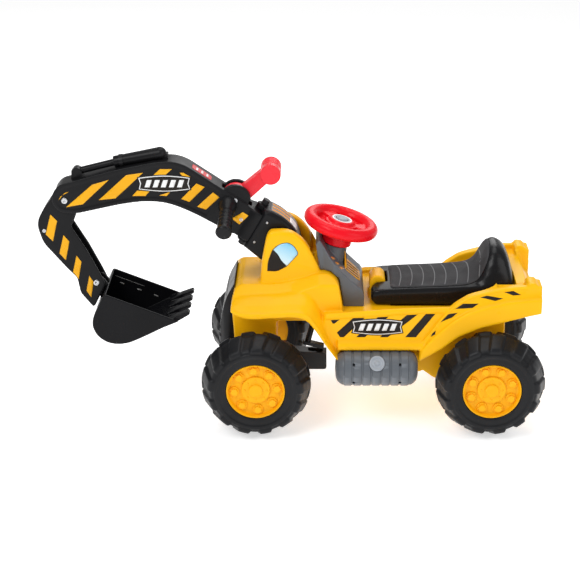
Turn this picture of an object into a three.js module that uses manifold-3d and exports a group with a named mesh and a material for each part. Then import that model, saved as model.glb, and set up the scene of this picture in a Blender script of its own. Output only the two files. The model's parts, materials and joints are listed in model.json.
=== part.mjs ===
// A child's ride-on digger: four-wheeled body with a hinged seat, a steered front
// axle, and a swinging boom, stick and bucket worked by a hand lever.
// Millimetres, +Z up, digging arm towards -X. The origin lies on the floor under
// the middle of the whole object.
import * as THREE from 'three';
import { mergeVertices } from 'three/addons/utils/BufferGeometryUtils.js';
import Module from 'manifold-3d';

const wasm = await Module();
wasm.setup();

// ---------- driving dimensions ----------
const GAP = 0.3;                      // clearance between pieces that touch
const WHEEL_RADIUS = 89;
const WHEEL_WIDTH = 72;
const TRACK_HALF = 116;               // wheel centre from the middle plane
const FRONT_AXLE_X = -57;
const REAR_AXLE_X = 320;
const AXLE_RADIUS = 5;
const HUB_RADIUS = 47;
const LUG_COUNT = 13;
const LUG_HEIGHT = 4;

const CORE_HALF = 66;                 // body between the wheels
const DECK_HALF = 92;                 // side walls beside the seat
const LEDGE_HALF = 100;
const FRONT_FENDER_HALF = 112;
const REAR_FENDER_HALF = 106;
const CHEEK_GAP_HALF = 31;            // slot between the two cab cheeks
const DECK_Z = 197;
const SILL_Z = 140;

const BOOM_HALF = 21;
const KNUCKLE_RADIUS = 27;            // drum that the boom swings on
const WALL = 3.5;                     // side wall of boom and stick
const STICK_HALF = 16;
const PIN_RADIUS = 4;
const PITCH_PIN_RADIUS = 5;
const LINK_PIN_RADIUS = 2.5;
const KINGPIN_RADIUS = 6;
const COLUMN_RADIUS = 5;
const COLUMN_BORE = 6.5;
const BUCKET_HALF = 58;
const BUCKET_WALL = 3;

const PITCH_PIVOT = [-32, 286];       // [x, z] of the axes that lie along Y
const LEVER_PIVOT = [-90, 366];
const STICK_PIVOT = [-363, 366];
const BUCKET_PIVOT = [-321, 222];
const SEAT_PIVOT = [140, 219];
const SWING_POINT = new THREE.Vector3(-62, 0, 322);
const SWING_TILT = Math.PI / 6;       // swing axis leans back by this angle
const LINK_CRANK = 18;                // lever and stick cranks are equal
const LEVER_LINK = [LEVER_PIVOT[0], LEVER_PIVOT[1] - LINK_CRANK];
const STICK_LINK = [STICK_PIVOT[0], STICK_PIVOT[1] - LINK_CRANK];
const COLUMN_TILT = THREE.MathUtils.degToRad(14.5);
const STEERING_CENTRE = new THREE.Vector3(80, 0, 321);
const STEERING_RADIUS = 51;
const STEERING_TUBE = 10;
const CRANK_RADIUS = 22;              // steering crank behind the column axis
const CRANK_DROP = 220;               // crank below the steering wheel, along the column
const TANK_RADIUS = 29;

const COLOURS = {
  yellow: [0xf5b70e, 0.45, 0],
  black: [0x16161a, 0.5, 0],
  tyre: [0x1a1b1d, 0.75, 0],
  grey: [0x5d6369, 0.5, 0],
  pale: [0x9aa1a8, 0.5, 0],
  red: [0xd81326, 0.4, 0],
  steel: [0xb9bcc0, 0.35, 0.9],
};

// ---------- helpers ----------
function solid(geometry) {
  const bare = geometry.clone();
  bare.deleteAttribute('normal');
  bare.deleteAttribute('uv');
  const merged = mergeVertices(bare, 1e-4);
  const vertProperties = new Float32Array(merged.attributes.position.array);
  const triVerts = new Uint32Array(merged.index.array);
  return new wasm.Manifold(new wasm.Mesh({ numProp: 3, vertProperties, triVerts }));
}

function geometryOf(body) {
  const mesh = body.getMesh();
  const geometry = new THREE.BufferGeometry();
  geometry.setAttribute('position', new THREE.BufferAttribute(new Float32Array(mesh.vertProperties), 3));
  geometry.setIndex(new THREE.BufferAttribute(new Uint32Array(mesh.triVerts), 1));
  geometry.computeVertexNormals();
  return geometry;
}

function joined(...bodies) {
  return bodies.reduce((sum, body) => sum.add(body));
}

// A closed outline of [u, v] or [u, v, corner radius] points.
function outline(points) {
  const shape = new THREE.Shape();
  const count = points.length;
  points.forEach(([u, v, radius = 0], i) => {
    const before = points[(i + count - 1) % count];
    const after = points[(i + 1) % count];
    const corner = new THREE.Vector2(u, v);
    const back = new THREE.Vector2(before[0], before[1]).sub(corner);
    const forth = new THREE.Vector2(after[0], after[1]).sub(corner);
    const cut = Math.min(radius, 0.45 * back.length(), 0.45 * forth.length());
    const start = back.setLength(cut).add(corner);
    const end = forth.setLength(cut).add(corner);
    if (i === 0) shape.moveTo(start.x, start.y);
    else shape.lineTo(start.x, start.y);
    if (cut > 0) shape.quadraticCurveTo(u, v, end.x, end.y);
  });
  return shape;
}

function asShape(points) {
  return Array.isArray(points) ? outline(points) : points;
}

// Side outline in X and Z, carried from y0 to y1.
function sideways(points, y0, y1, steps = 2) {
  const geometry = new THREE.ExtrudeGeometry(asShape(points),
    { depth: y1 - y0, bevelEnabled: false, curveSegments: steps });
  geometry.rotateX(Math.PI / 2);
  geometry.translate(0, y1, 0);
  return solid(geometry);
}

function bothSides(points, inner, outer, steps = 2) {
  return sideways(points, -outer, -inner, steps).add(sideways(points, inner, outer, steps));
}

// Cross section in Y and Z, carried from x0 to x1.
function lengthwaysGeometry(points, x0, x1, steps = 2) {
  const geometry = new THREE.ExtrudeGeometry(asShape(points),
    { depth: x1 - x0, bevelEnabled: false, curveSegments: steps });
  geometry.rotateY(Math.PI / 2);
  geometry.rotateX(Math.PI / 2);
  geometry.translate(x0, 0, 0);
  return geometry;
}

function lengthways(points, x0, x1, steps) {
  return solid(lengthwaysGeometry(points, x0, x1, steps));
}

// Plan outline in X and Y, carried from z0 to z1.
function upwards(points, z0, z1, steps = 2) {
  const geometry = new THREE.ExtrudeGeometry(asShape(points),
    { depth: z1 - z0, bevelEnabled: false, curveSegments: steps });
  geometry.translate(0, 0, z0);
  return solid(geometry);
}

function block(x0, x1, y0, y1, z0, z1) {
  const geometry = new THREE.BoxGeometry(x1 - x0, y1 - y0, z1 - z0);
  geometry.translate((x0 + x1) / 2, (y0 + y1) / 2, (z0 + z1) / 2);
  return solid(geometry);
}

function rodGeometry(from, to, radius, sides = 16, endRadius = radius) {
  const span = new THREE.Vector3().subVectors(to, from);
  const geometry = new THREE.CylinderGeometry(endRadius, radius, span.length(), sides);
  geometry.translate(0, span.length() / 2, 0);
  const turn = new THREE.Quaternion().setFromUnitVectors(new THREE.Vector3(0, 1, 0), span.normalize());
  geometry.applyQuaternion(turn);
  geometry.translate(from.x, from.y, from.z);
  return geometry;
}

function rod(from, to, radius, sides, endRadius) {
  return solid(rodGeometry(from, to, radius, sides, endRadius));
}

// Round bar along Y at [x, z].
function crossBar([x, z], y0, y1, radius, sides = 12) {
  return rod(new THREE.Vector3(x, y0, z), new THREE.Vector3(x, y1, z), radius, sides);
}

// Profile of [radius, distance] points turned about Y, the outer side towards -Y.
function turned(profile, segments) {
  const points = profile.map(([radius, distance]) => new THREE.Vector2(radius, distance));
  return new THREE.LatheGeometry(points, segments);
}

const group = new THREE.Group();

function piece(name, body, colour, parent = group) {
  const [color, roughness, metalness] = COLOURS[colour];
  const geometry = body.getMesh ? geometryOf(body) : body;
  const mesh = new THREE.Mesh(geometry, new THREE.MeshStandardMaterial({ color, roughness, metalness }));
  mesh.name = name;
  parent.add(mesh);
  return mesh;
}

// ---------- wheels ----------
// Each wheel is drawn about its own axle, with its outer face towards -Y.
const HALF_WIDTH = WHEEL_WIDTH / 2;
// Crowned tread: [distance from the middle of the tyre, radius over the lugs].
const TREAD = [[4, WHEEL_RADIUS], [12, 85], [24, 80], [34, 76]];
const LUG_FOOT = 66;                  // lugs are rooted at this radius inside the carcass
const LUG_WIDTH = 11;

function tyreBody() {
  const seat = HUB_RADIUS + GAP;
  const bead = HALF_WIDTH - 4;
  const carcass = TREAD.map(([out, radius]) => [radius - LUG_HEIGHT, out]);
  const profile = [
    [seat, -bead], [seat + 10, -HALF_WIDTH], ...carcass.map(([radius, out]) => [radius, -out]).reverse(),
    ...carcass, [seat + 10, HALF_WIDTH], [seat, bead], [seat, -bead],
  ];
  let body = solid(turned(profile, 2 * LUG_COUNT));
  const edge = TREAD[TREAD.length - 1][0];
  for (let i = 0; i < LUG_COUNT * 2; i += 1) {
    const side = i % 2 ? 1 : -1;
    const top = TREAD.map(([out, radius]) => [side * out, radius]).reverse();
    const lug = lengthwaysGeometry([[0, LUG_FOOT], [side * edge, LUG_FOOT], ...top, [0, WHEEL_RADIUS]],
      -LUG_WIDTH / 2, LUG_WIDTH / 2);
    lug.rotateY((i * Math.PI) / LUG_COUNT);
    body = body.add(solid(lug));
  }
  return body;
}

const HUB_FACE = HALF_WIDTH - 12;     // outer face of the hub disc, sunk inside the tyre
const CAP_RADIUS = 23;
const NUT_CIRCLE = 34.5;              // the eight moulded nuts stand on this radius

function hubBody() {
  const bore = AXLE_RADIUS + GAP;
  const profile = [
    [bore, -HUB_FACE + 8], [CAP_RADIUS - 4, -HUB_FACE + 8], [CAP_RADIUS - 4, -HUB_FACE],
    [HUB_RADIUS - 4, -HUB_FACE], [HUB_RADIUS - 3, -HALF_WIDTH + 2], [HUB_RADIUS, -HALF_WIDTH + 2],
    [HUB_RADIUS, HALF_WIDTH - 6], [bore, HALF_WIDTH - 6], [bore, -HUB_FACE + 8],
  ];
  let body = solid(turned(profile, 2 * LUG_COUNT));
  for (let i = 0; i < 8; i += 1) {
    const angle = (i * Math.PI) / 4;
    const at = [NUT_CIRCLE * Math.cos(angle), NUT_CIRCLE * Math.sin(angle)];
    body = body.add(crossBar(at, -HUB_FACE - 4, -HUB_FACE + 2, 6.5, 6));
  }
  return body;
}

function hubCapBody() {
  const profile = [
    [0, -HUB_FACE - 7], [10, -HUB_FACE - 7], [11.5, -HUB_FACE - 4], [CAP_RADIUS - 1, -HUB_FACE - 3],
    [CAP_RADIUS, -HUB_FACE - GAP], [CAP_RADIUS - 5, -HUB_FACE - GAP], [CAP_RADIUS - 5, -HUB_FACE + 4],
    [CAP_RADIUS - 8, -HUB_FACE + 4], [CAP_RADIUS - 8, -HUB_FACE - 1], [0, -HUB_FACE - 1],
  ];
  return solid(turned(profile, 16));
}

function pushNutBody() {
  const inner = AXLE_RADIUS + GAP;
  const profile = [
    [inner, -HUB_FACE + 5.5], [10, -HUB_FACE + 5.5], [10, -HUB_FACE + 7.5], [inner, -HUB_FACE + 7.5],
    [inner, -HUB_FACE + 5.5],
  ];
  return solid(turned(profile, 12));
}

function wheel(name, axleX, side) {
  const frame = new THREE.Group();
  frame.position.set(axleX, side * TRACK_HALF, WHEEL_RADIUS);
  frame.rotation.z = side > 0 ? Math.PI : 0;
  group.add(frame);
  piece(`${name}_tyre`, tyreBody(), 'tyre', frame);
  piece(`${name}_hub`, hubBody(), 'yellow', frame);
  piece(`${name}_hub_cap`, hubCapBody(), 'yellow', frame);
  piece(`${name}_push_nut`, pushNutBody(), 'steel', frame);
}

wheel('front_left', FRONT_AXLE_X, -1);
wheel('front_right', FRONT_AXLE_X, 1);
wheel('rear_left', REAR_AXLE_X, -1);
wheel('rear_right', REAR_AXLE_X, 1);

const AXLE_END = TRACK_HALF + HUB_FACE - 3;

// ---------- steering column axis ----------
const COLUMN_UP = new THREE.Vector3(Math.sin(COLUMN_TILT), 0, Math.cos(COLUMN_TILT));

function alongColumn(distance) {
  return STEERING_CENTRE.clone().addScaledVector(COLUMN_UP, distance);
}

const columnBore = rod(alongColumn(-260), alongColumn(20), COLUMN_BORE, 16);

// ---------- body ----------
function frontBody() {
  const side = [
    [-91, 124, 6], [-96, 195], [-91, 226, 4], [-84, 237, 6], [-50, 237], [-49, 267], [-40, 319, 8],
    [-31, 331, 8], [-6, 331, 14], [17, 315], [30, 298], [39, 281], [46, 262, 4], [62, 262, 8],
    [74, 252, 8], [82, 200], [82, SILL_Z], [60, SILL_Z], [48, 124],
  ];
  const section = [
    [-FRONT_FENDER_HALF, 110], [FRONT_FENDER_HALF, 110], [FRONT_FENDER_HALF, 212, 6], [76, 250, 8],
    [58, 264, 6], [48, 323, 4], [44, 334], [-44, 334], [-48, 323, 4], [-58, 264, 6], [-76, 250, 8],
    [-FRONT_FENDER_HALF, 212, 6],
  ];
  return sideways(side, -FRONT_FENDER_HALF, FRONT_FENDER_HALF).intersect(lengthways(section, -130, 100));
}

const FRONT_ARCH = [
  [-140, 90], [60, 90], [74, 124], [48, 161, 8], [24, 193, 10], [11, 199, 4], [-63, 196, 6],
  [-84, 201], [-96, 209], [-140, 209],
];

const REAR_ARCH = [
  [200, 60], [420, 60], [420, 211], [395, 206], [339, 190, 8], [303, 180, 10], [267, 164, 10],
  [242, 144, 6], [204, 121], [200, 116],
];

function middleBody() {
  const wall = sideways([
    [70, SILL_Z], [268, SILL_Z], [268, 214], [256, 214], [116, 208], [82, 201], [70, DECK_Z],
  ], -DECK_HALF, DECK_HALF);
  const ledge = block(78, 212, -LEDGE_HALF, LEDGE_HALF, SILL_Z, SILL_Z + 7);
  const keel = block(75, 212, -CORE_HALF, CORE_HALF, 84, SILL_Z + 1);
  return joined(wall, ledge, keel);
}

const TAIL_X = 346;                   // behind this the tail overhangs open space
const GUARD_HALF = 94;                // inner, higher part of the rear wheel guards

function rearBody() {
  const core = sideways([
    [200, 98], [236, 70, 8], [332, 70, 16], [TAIL_X, 100, 10], [TAIL_X, 188], [396, 205], [393, 238, 6],
    [200, 238],
  ], -CORE_HALF, CORE_HALF);
  const shoulder = sideways([
    [208, 122], [396, 150], [396, 238, 6], [337, 240, 16], [289, 227, 16], [256, 209, 12], [205, 195],
    [205, 141],
  ], -GUARD_HALF, GUARD_HALF);
  const fender = sideways([
    [208, 122], [396, 150], [396, 236, 5], [378, 234], [338, 222, 14], [289, 200, 16], [257, 177, 16],
    [226, 146, 6], [205, 141],
  ], -REAR_FENDER_HALF, REAR_FENDER_HALF);
  const lights = bothSides([[376, 190], [399, 190], [398, 226], [391, 252, 4], [376, 252, 4]], 68, 99);
  return joined(core, shoulder, fender, lights);
}

const SEAT_WELL_HALF = 62;
const WIDE_WELL_HALF = 84;
const BIN = { x0: 160, x1: 338, half: 50, floor: 112 };

function bodyShell() {
  let body = joined(frontBody(), middleBody(), rearBody());
  body = body.subtract(bothSides(FRONT_ARCH, CORE_HALF, 140));
  body = body.subtract(bothSides(REAR_ARCH, CORE_HALF, 140));
  // open space under the overhanging tail
  body = body.subtract(sideways([[TAIL_X, 60], [420, 60], [420, 211], [395, 206], [TAIL_X, 188]], -140, 140));
  // steering well under the bonnet, right across
  body = body.subtract(sideways([[-25, 80], [66, 80], [66, 142], [48, 176], [-25, 176]], -140, 140));
  // slot between the cheeks
  body = body.subtract(block(-60, 90, -CHEEK_GAP_HALF, CHEEK_GAP_HALF, 246, 400));
  // level deck for the seat and the console, with low walls left at both sides
  body = body.subtract(block(82.2, 361, -SEAT_WELL_HALF, SEAT_WELL_HALF, DECK_Z, 300));
  body = body.subtract(block(82.2, 330, -WIDE_WELL_HALF, WIDE_WELL_HALF, DECK_Z, 300));
  // storage bin under the seat
  body = body.subtract(block(BIN.x0, BIN.x1, -BIN.half, BIN.half, BIN.floor, 300));
  // tail scooped out between the two rear lights
  body = body.subtract(sideways([[387, 214, 4], [420, 214], [420, 300], [378, 300]], -60, 60));
  // seat hinge block and its pin hole
  const knuckle = sideways([
    [127, DECK_Z - 2], [153, DECK_Z - 2], [153, 228, 4], [146, 234, 4], [133, 234, 6], [127, 226],
  ], -21, 21);
  body = body.add(knuckle).subtract(crossBar(SEAT_PIVOT, -30, 30, PIN_RADIUS + GAP));
  // holes: rear axle, kingpin, pitch pin and steering column
  body = body.subtract(crossBar([REAR_AXLE_X, WHEEL_RADIUS], -90, 90, AXLE_RADIUS + GAP));
  body = body.subtract(rod(new THREE.Vector3(FRONT_AXLE_X, 0, 100),
    new THREE.Vector3(FRONT_AXLE_X, 0, 168), KINGPIN_RADIUS + GAP));
  body = body.subtract(crossBar(PITCH_PIVOT, -42, 42, PITCH_PIN_RADIUS + GAP));
  return body.subtract(columnBore);
}

piece('body_shell', bodyShell(), 'yellow');

// ---------- grille ----------
function grilleBody() {
  const side = [
    [-92, 126], [-121, 124, 6], [-119, 155], [-112, 190, 12], [-106, 212, 8], [-92.5, 236, 3],
    [-91.5, 226.5], [-96.4, 195],
  ];
  const plan = [
    [-90, -52], [-90, 52], [-108, 52, 10], [-122, 34, 8], [-122, -34, 8], [-108, -52, 10],
  ];
  return sideways(side, -54, 54).intersect(upwards(plan, 100, 260)).subtract(frontBody());
}

piece('grille', grilleBody(), 'black');

// ---------- console with steering column neck ----------
function consoleBody() {
  const ramp = sideways([
    [82.6, DECK_Z + GAP], [82.6, 203], [75.2, 253], [64, 263], [47, 263],
    [39.6, 282], [30.6, 299], [24, 309], [36, 318, 5], [46, 306, 5], [61, 279, 6], [80, 257, 6],
    [115, 224, 4], [117, 216, 3], [117, DECK_Z + GAP],
  ], -44, 44);
  const aboveBody = sideways([
    [47.5, 263.2], [76, 263.2], [86, 240], [120, 240], [120, 340], [47.5, 340],
  ], -50, 50);
  const neck = rod(alongColumn(-70), alongColumn(-36), 23, 24, 20).intersect(aboveBody);
  const collarRoom = rod(alongColumn(-35.4), alongColumn(10), 25.5, 24);
  return joined(ramp, neck).subtract(collarRoom).subtract(columnBore);
}

piece('console', consoleBody(), 'grey');

// ---------- steering ----------
const SPOKE_COUNT = 3;
const SPOKE_HALF = 9;

function steeringWheelBody() {
  const ring = new THREE.TorusGeometry(STEERING_RADIUS, STEERING_TUBE, 7, 22);
  let body = solid(ring);
  const spoke = outline([[-SPOKE_HALF, 12], [SPOKE_HALF, 12], [SPOKE_HALF, 47], [-SPOKE_HALF, 47]]);
  for (let i = 0; i < SPOKE_COUNT; i += 1) {
    const arm = new THREE.ExtrudeGeometry(spoke, { depth: 7, bevelEnabled: false });
    arm.translate(0, 0, -4);
    arm.rotateZ((i * 2 * Math.PI) / SPOKE_COUNT - Math.PI / 2);
    body = body.add(solid(arm));
  }
  const hub = new THREE.LatheGeometry([
    [0, -14], [6, -14], [6, -34], [23, -34], [24, -20], [21, -6], [21, 5], [18, 7], [10, 7],
    [10, 1], [0, 1],
  ].map(([r, h]) => new THREE.Vector2(r, h)), 20);
  hub.rotateX(Math.PI / 2);
  return body.add(solid(hub));
}

const columnFrame = new THREE.Group();
columnFrame.position.copy(STEERING_CENTRE);
columnFrame.rotation.y = COLUMN_TILT;
group.add(columnFrame);
piece('steering_wheel', steeringWheelBody(), 'red', columnFrame);

function hornButtonBody() {
  const hub = new THREE.LatheGeometry([
    [0, 4], [9.5, 4], [9.5, 8], [8.5, 9.5], [0, 10.5],
  ].map(([r, h]) => new THREE.Vector2(r, h)), 20);
  hub.rotateX(Math.PI / 2);
  return solid(hub);
}

piece('horn_button', hornButtonBody(), 'pale', columnFrame);

function steeringRodBody() {
  const top = -14.4;
  const foot = -CRANK_DROP - 4;
  const shaft = rod(new THREE.Vector3(0, 0, foot), new THREE.Vector3(0, 0, top), COLUMN_RADIUS, 16);
  const arm = block(-7, CRANK_RADIUS + 6, -6, 6, foot, -CRANK_DROP + 2);
  const pin = rod(new THREE.Vector3(CRANK_RADIUS, 0, -CRANK_DROP - 22),
    new THREE.Vector3(CRANK_RADIUS, 0, -CRANK_DROP), 4, 12);
  return joined(shaft, arm, pin);
}

piece('steering_rod', steeringRodBody(), 'black', columnFrame);

// ---------- front axle carrier ----------
const YOKE_TOP = 118;

function yokeBody() {
  const housing = block(-76, -38, -58, 58, 78, 102);
  const onKingpin = (z) => new THREE.Vector3(FRONT_AXLE_X, 0, z);
  const boss = rod(onKingpin(90), onKingpin(YOKE_TOP), 17, 20);
  const slotX = crankPinX();
  const arm = sideways([
    [-60, 80], [slotX - 28, 80], [slotX - 24, 62, 4], [slotX + 14, 62, 4], [slotX + 14, 92], [-60, 100],
  ], -11, 11);
  const slot = upwards(outline([
    [slotX - 17.5, -6.4, 4], [slotX + 8.5, -6.4, 4], [slotX + 8.5, 6.4, 4], [slotX - 17.5, 6.4, 4],
  ]), 50, 130);
  let body = joined(housing, boss, arm).subtract(slot);
  body = body.subtract(crossBar([FRONT_AXLE_X, WHEEL_RADIUS], -70, 70, AXLE_RADIUS + GAP));
  return body.subtract(rod(onKingpin(WHEEL_RADIUS + 9), onKingpin(130), KINGPIN_RADIUS + GAP));
}

// X of the middle of the crank pin, which stands in the carrier's slot.
function crankPinX() {
  const foot = alongColumn(-CRANK_DROP - 14);
  return foot.x + CRANK_RADIUS * Math.cos(COLUMN_TILT);
}

piece('steering_yoke', yokeBody(), 'black');
piece('kingpin', rod(new THREE.Vector3(FRONT_AXLE_X, 0, WHEEL_RADIUS + 9 + GAP),
  new THREE.Vector3(FRONT_AXLE_X, 0, 165), KINGPIN_RADIUS), 'steel');
piece('front_axle', crossBar([FRONT_AXLE_X, WHEEL_RADIUS], -AXLE_END, AXLE_END, AXLE_RADIUS), 'steel');
piece('rear_axle', crossBar([REAR_AXLE_X, WHEEL_RADIUS], -AXLE_END, AXLE_END, AXLE_RADIUS), 'steel');

// ---------- seat ----------
function seatBody() {
  const side = [
    [129, DECK_Z + 1.5, 9], [129, 222, 4], [150, 228, 10], [230, 232], [275, 236, 16], [302, 252, 14],
    [314, 277, 8], [327, 290, 9], [342, 285, 8], [355, 262, 10], [360, DECK_Z + 1.5, 4],
  ];
  const plan = [
    [125, -49, 12], [260, -51, 20], [320, -59, 14], [362, -52, 12],
    [362, 52, 12], [320, 59, 14], [260, 51, 20], [125, 49, 12],
  ];
  const notch = block(120, 156, -22, 22, 190, 250);
  const hollow = sideways([
    [160, 190], [354, 190], [353, 232], [160, 222],
  ], -42, 42);
  const crown = lengthways([
    [-62, 190], [62, 190], [62, 238], [56, 254, 10], [38, 278, 14], [0, 296, 20], [-38, 278, 14],
    [-56, 254, 10], [-62, 238],
  ], 120, 370);
  return sideways(side, -70, 70, 4).intersect(upwards(plan, 190, 300)).intersect(crown).subtract(notch)
    .subtract(hollow).subtract(crossBar(SEAT_PIVOT, -60, 60, PIN_RADIUS + GAP));
}

piece('seat', seatBody(), 'black');
piece('seat_hinge_pin', crossBar(SEAT_PIVOT, -40, 40, PIN_RADIUS), 'steel');

// ---------- side tanks ----------
const TANK = { x0: 70, x1: 204, y: 100, z: 108 };

function tankBody(side) {
  const ribs = 5;
  const length = TANK.x1 - TANK.x0;
  const straight = length - 36;
  const profile = [new THREE.Vector2(0, 0), new THREE.Vector2(20, 2)];
  for (let i = 0; i < ribs; i += 1) {
    const start = 18 + (i * straight) / ribs;
    profile.push(new THREE.Vector2(TANK_RADIUS - 2, start));
    profile.push(new THREE.Vector2(TANK_RADIUS, start + 3));
    profile.push(new THREE.Vector2(TANK_RADIUS, start + straight / ribs - 1));
  }
  profile.push(new THREE.Vector2(20, length - 2), new THREE.Vector2(0, length));
  const barrel = new THREE.LatheGeometry(profile, 12);
  barrel.rotateZ(-Math.PI / 2);
  barrel.translate(TANK.x0, side * TANK.y, TANK.z);
  const capHole = tankCapAxis(side, -1, 12, 13 + GAP);
  const near = side < 0 ? [-140, -CORE_HALF - GAP] : [CORE_HALF + GAP, 140];
  return solid(barrel).subtract(capHole).intersect(block(60, 220, near[0], near[1], 60, 150));
}

// A short cylinder on the tank's outer upper face, from one depth to another.
function tankCapAxis(side, inner, outer, radius) {
  const tilt = THREE.MathUtils.degToRad(40);
  const out = new THREE.Vector3(0, side * Math.cos(tilt), Math.sin(tilt));
  const centre = new THREE.Vector3((TANK.x0 + TANK.x1) / 2, side * TANK.y, TANK.z);
  const from = centre.clone().addScaledVector(out, TANK_RADIUS + inner - 2);
  const to = centre.clone().addScaledVector(out, TANK_RADIUS + outer - 2);
  return rod(from, to, radius, 20);
}

piece('tank_left', tankBody(-1), 'grey');
piece('tank_right', tankBody(1), 'grey');
piece('tank_cap_left', tankCapAxis(-1, -1 + GAP, 4, 12.5), 'pale');
piece('tank_cap_right', tankCapAxis(1, -1 + GAP, 4, 12.5), 'pale');

// ---------- turret ----------
const SWING_UP = new THREE.Vector3(Math.sin(SWING_TILT), 0, Math.cos(SWING_TILT));
const BOOM_OUT = new THREE.Vector3(-Math.cos(SWING_TILT), 0, Math.sin(SWING_TILT));

// Point at a height up the swing axis and a distance out towards the boom.
function atSwing(up, out, y = 0) {
  const point = SWING_POINT.clone().addScaledVector(SWING_UP, up).addScaledVector(BOOM_OUT, out);
  point.y = y;
  return point;
}

function xz(up, out, radius = 0) {
  const point = atSwing(up, out);
  return [point.x, point.z, radius];
}

const TURRET_HALF = 30.5;
const LUG_INNER = 26;                 // the boom's knuckle fits between the lugs
const LUG_OUTER = 36;

function turretBody() {
  const drum = sideways([
    xz(LUG_OUTER, -1), [-33, 357, 4], [-14, 350, 16], [4, 334, 14], [15, 308, 12], [15, 286, 10],
    [0, 262, 10], [-46, 262, 8], xz(-LUG_OUTER, -1),
  ], -TURRET_HALF, TURRET_HALF, 3);
  const lug = (low, high) => rod(atSwing(low, 0), atSwing(high, 0), 11, 20)
    .add(sideways([xz(low, 0), xz(high, 0), xz(high, -12), xz(low, -12)], -11, 11));
  const room = rod(atSwing(-LUG_INNER - GAP, 0), atSwing(LUG_INNER + GAP, 0), KNUCKLE_RADIUS + 1.5, 24);
  return drum.subtract(room)
    .add(lug(LUG_INNER + GAP, LUG_OUTER)).add(lug(-LUG_OUTER, -LUG_INNER - GAP))
    .subtract(rod(atSwing(LUG_OUTER, 0), atSwing(60, 0), 7))
    .subtract(rod(atSwing(-60, 0), atSwing(-LUG_OUTER, 0), 7))
    .subtract(rod(atSwing(-60, 0), atSwing(60, 0), PIN_RADIUS + GAP, 16))
    .subtract(crossBar(PITCH_PIVOT, -40, 40, PITCH_PIN_RADIUS + GAP));
}

piece('turret', turretBody(), 'black');
piece('pitch_pin', crossBar(PITCH_PIVOT, -40, 40, PITCH_PIN_RADIUS), 'steel');

function swingPinBody() {
  const shank = rod(atSwing(-42, 0), atSwing(44, 0), PIN_RADIUS, 16);
  const head = rod(atSwing(LUG_OUTER + GAP, 0), atSwing(45, 0), 6, 16);
  const foot = rod(atSwing(-42, 0), atSwing(-LUG_OUTER - GAP, 0), 6, 16);
  return joined(shank, head, foot);
}

piece('swing_pin', swingPinBody(), 'black');

// ---------- boom ----------
const BOOM_SIDE = [
  xz(-LUG_INNER, 0), [-99, 312, 10], [-153, 343, 14], [-183, 357, 14], [-207, 364, 10], [-240, 365, 10],
  [-274, 360, 10], [-345, 344, 6], [-372, 346, 8], [-384, 362, 8], [-382, 378, 6], [-371, 392, 6],
  [-281, 417, 8], [-217, 430, 10], [-190, 432, 12], [-169, 426, 14], [-118, 391, 10], xz(LUG_INNER, 0),
];

const BOOM_INSIDE = [
  xz(-LUG_INNER + 6, 14), [-99, 318, 10], [-153, 349, 14], [-183, 363, 14], [-207, 370, 10],
  [-240, 371, 10], [-274, 366, 10], [-308, 358], [-308, 330], [-400, 330], [-400, 378, 4],
  [-371, 386, 4], [-281, 411, 8], [-217, 424, 10], [-190, 426, 10], [-171, 420, 12], [-120, 385, 10],
  xz(LUG_INNER - 6, 14),
];

const DOME_RADIUS = 25;

function boomBody() {
  const knuckle = rod(atSwing(-LUG_INNER, 0), atSwing(LUG_INNER, 0), KNUCKLE_RADIUS, 24);
  const domes = bothSides(roundOutline(LEVER_PIVOT, DOME_RADIUS), 10, 18, 5);
  const leverSlot = sideways(roundOutline(LEVER_PIVOT, DOME_RADIUS + 3.5), -9, 9, 5);
  const hollowHalf = BOOM_HALF - WALL;
  return sideways(BOOM_SIDE, -BOOM_HALF, BOOM_HALF)
    .subtract(sideways(BOOM_INSIDE, -hollowHalf, hollowHalf))
    .add(knuckle).add(domes).subtract(leverSlot)
    .subtract(rod(atSwing(LUG_INNER, 0), atSwing(60, 0), 30, 24))
    .subtract(rod(atSwing(-60, 0), atSwing(-LUG_INNER, 0), 30, 24))
    .subtract(rod(atSwing(-60, 0), atSwing(60, 0), PIN_RADIUS + GAP, 16))
    .subtract(crossBar(LEVER_PIVOT, -30, 30, PIN_RADIUS + GAP))
    .subtract(crossBar(STICK_PIVOT, -30, 30, PIN_RADIUS + GAP));
}

function roundOutline([x, z], radius) {
  const shape = new THREE.Shape();
  shape.absarc(x, z, radius, 0, 2 * Math.PI, false);
  return shape;
}

piece('boom', boomBody(), 'black');

// ---------- mock hydraulic cylinder on the boom ----------
const CYLINDER_REAR = new THREE.Vector3(-206, 0, 440);
const CYLINDER_MID = new THREE.Vector3(-283, 0, 427);
const CYLINDER_FRONT = new THREE.Vector3(-343, 0, 412);

function cylinderBarrelBody() {
  const barrel = rod(CYLINDER_REAR, CYLINDER_MID, 10, 16, 7);
  const dome = new THREE.SphereGeometry(10.5, 16, 10);
  dome.translate(CYLINDER_REAR.x, 0, CYLINDER_REAR.z);
  const foot = sideways([[-216, 426], [-196, 429], [-196, 440], [-216, 440]], -6, 6);
  const socket = rod(new THREE.Vector3(-262, 0, 430.5), CYLINDER_FRONT, 4 + GAP, 12);
  return joined(barrel, solid(dome), foot).subtract(sideways(BOOM_SIDE, -25, 25)).subtract(socket);
}

function cylinderRodBody() {
  const shank = rod(new THREE.Vector3(-264, 0, 430.05), CYLINDER_FRONT, 4, 12);
  const eye = crossBar([CYLINDER_FRONT.x, CYLINDER_FRONT.z], -8, 8, 8, 16);
  const foot = sideways([[-352, 396], [-333, 401], [-335, 412], [-351, 412]], -8, 8);
  return joined(shank, eye, foot).subtract(sideways(BOOM_SIDE, -25, 25));
}

piece('cylinder_barrel', cylinderBarrelBody(), 'black');
piece('cylinder_rod', cylinderRodBody(), 'black');

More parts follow.
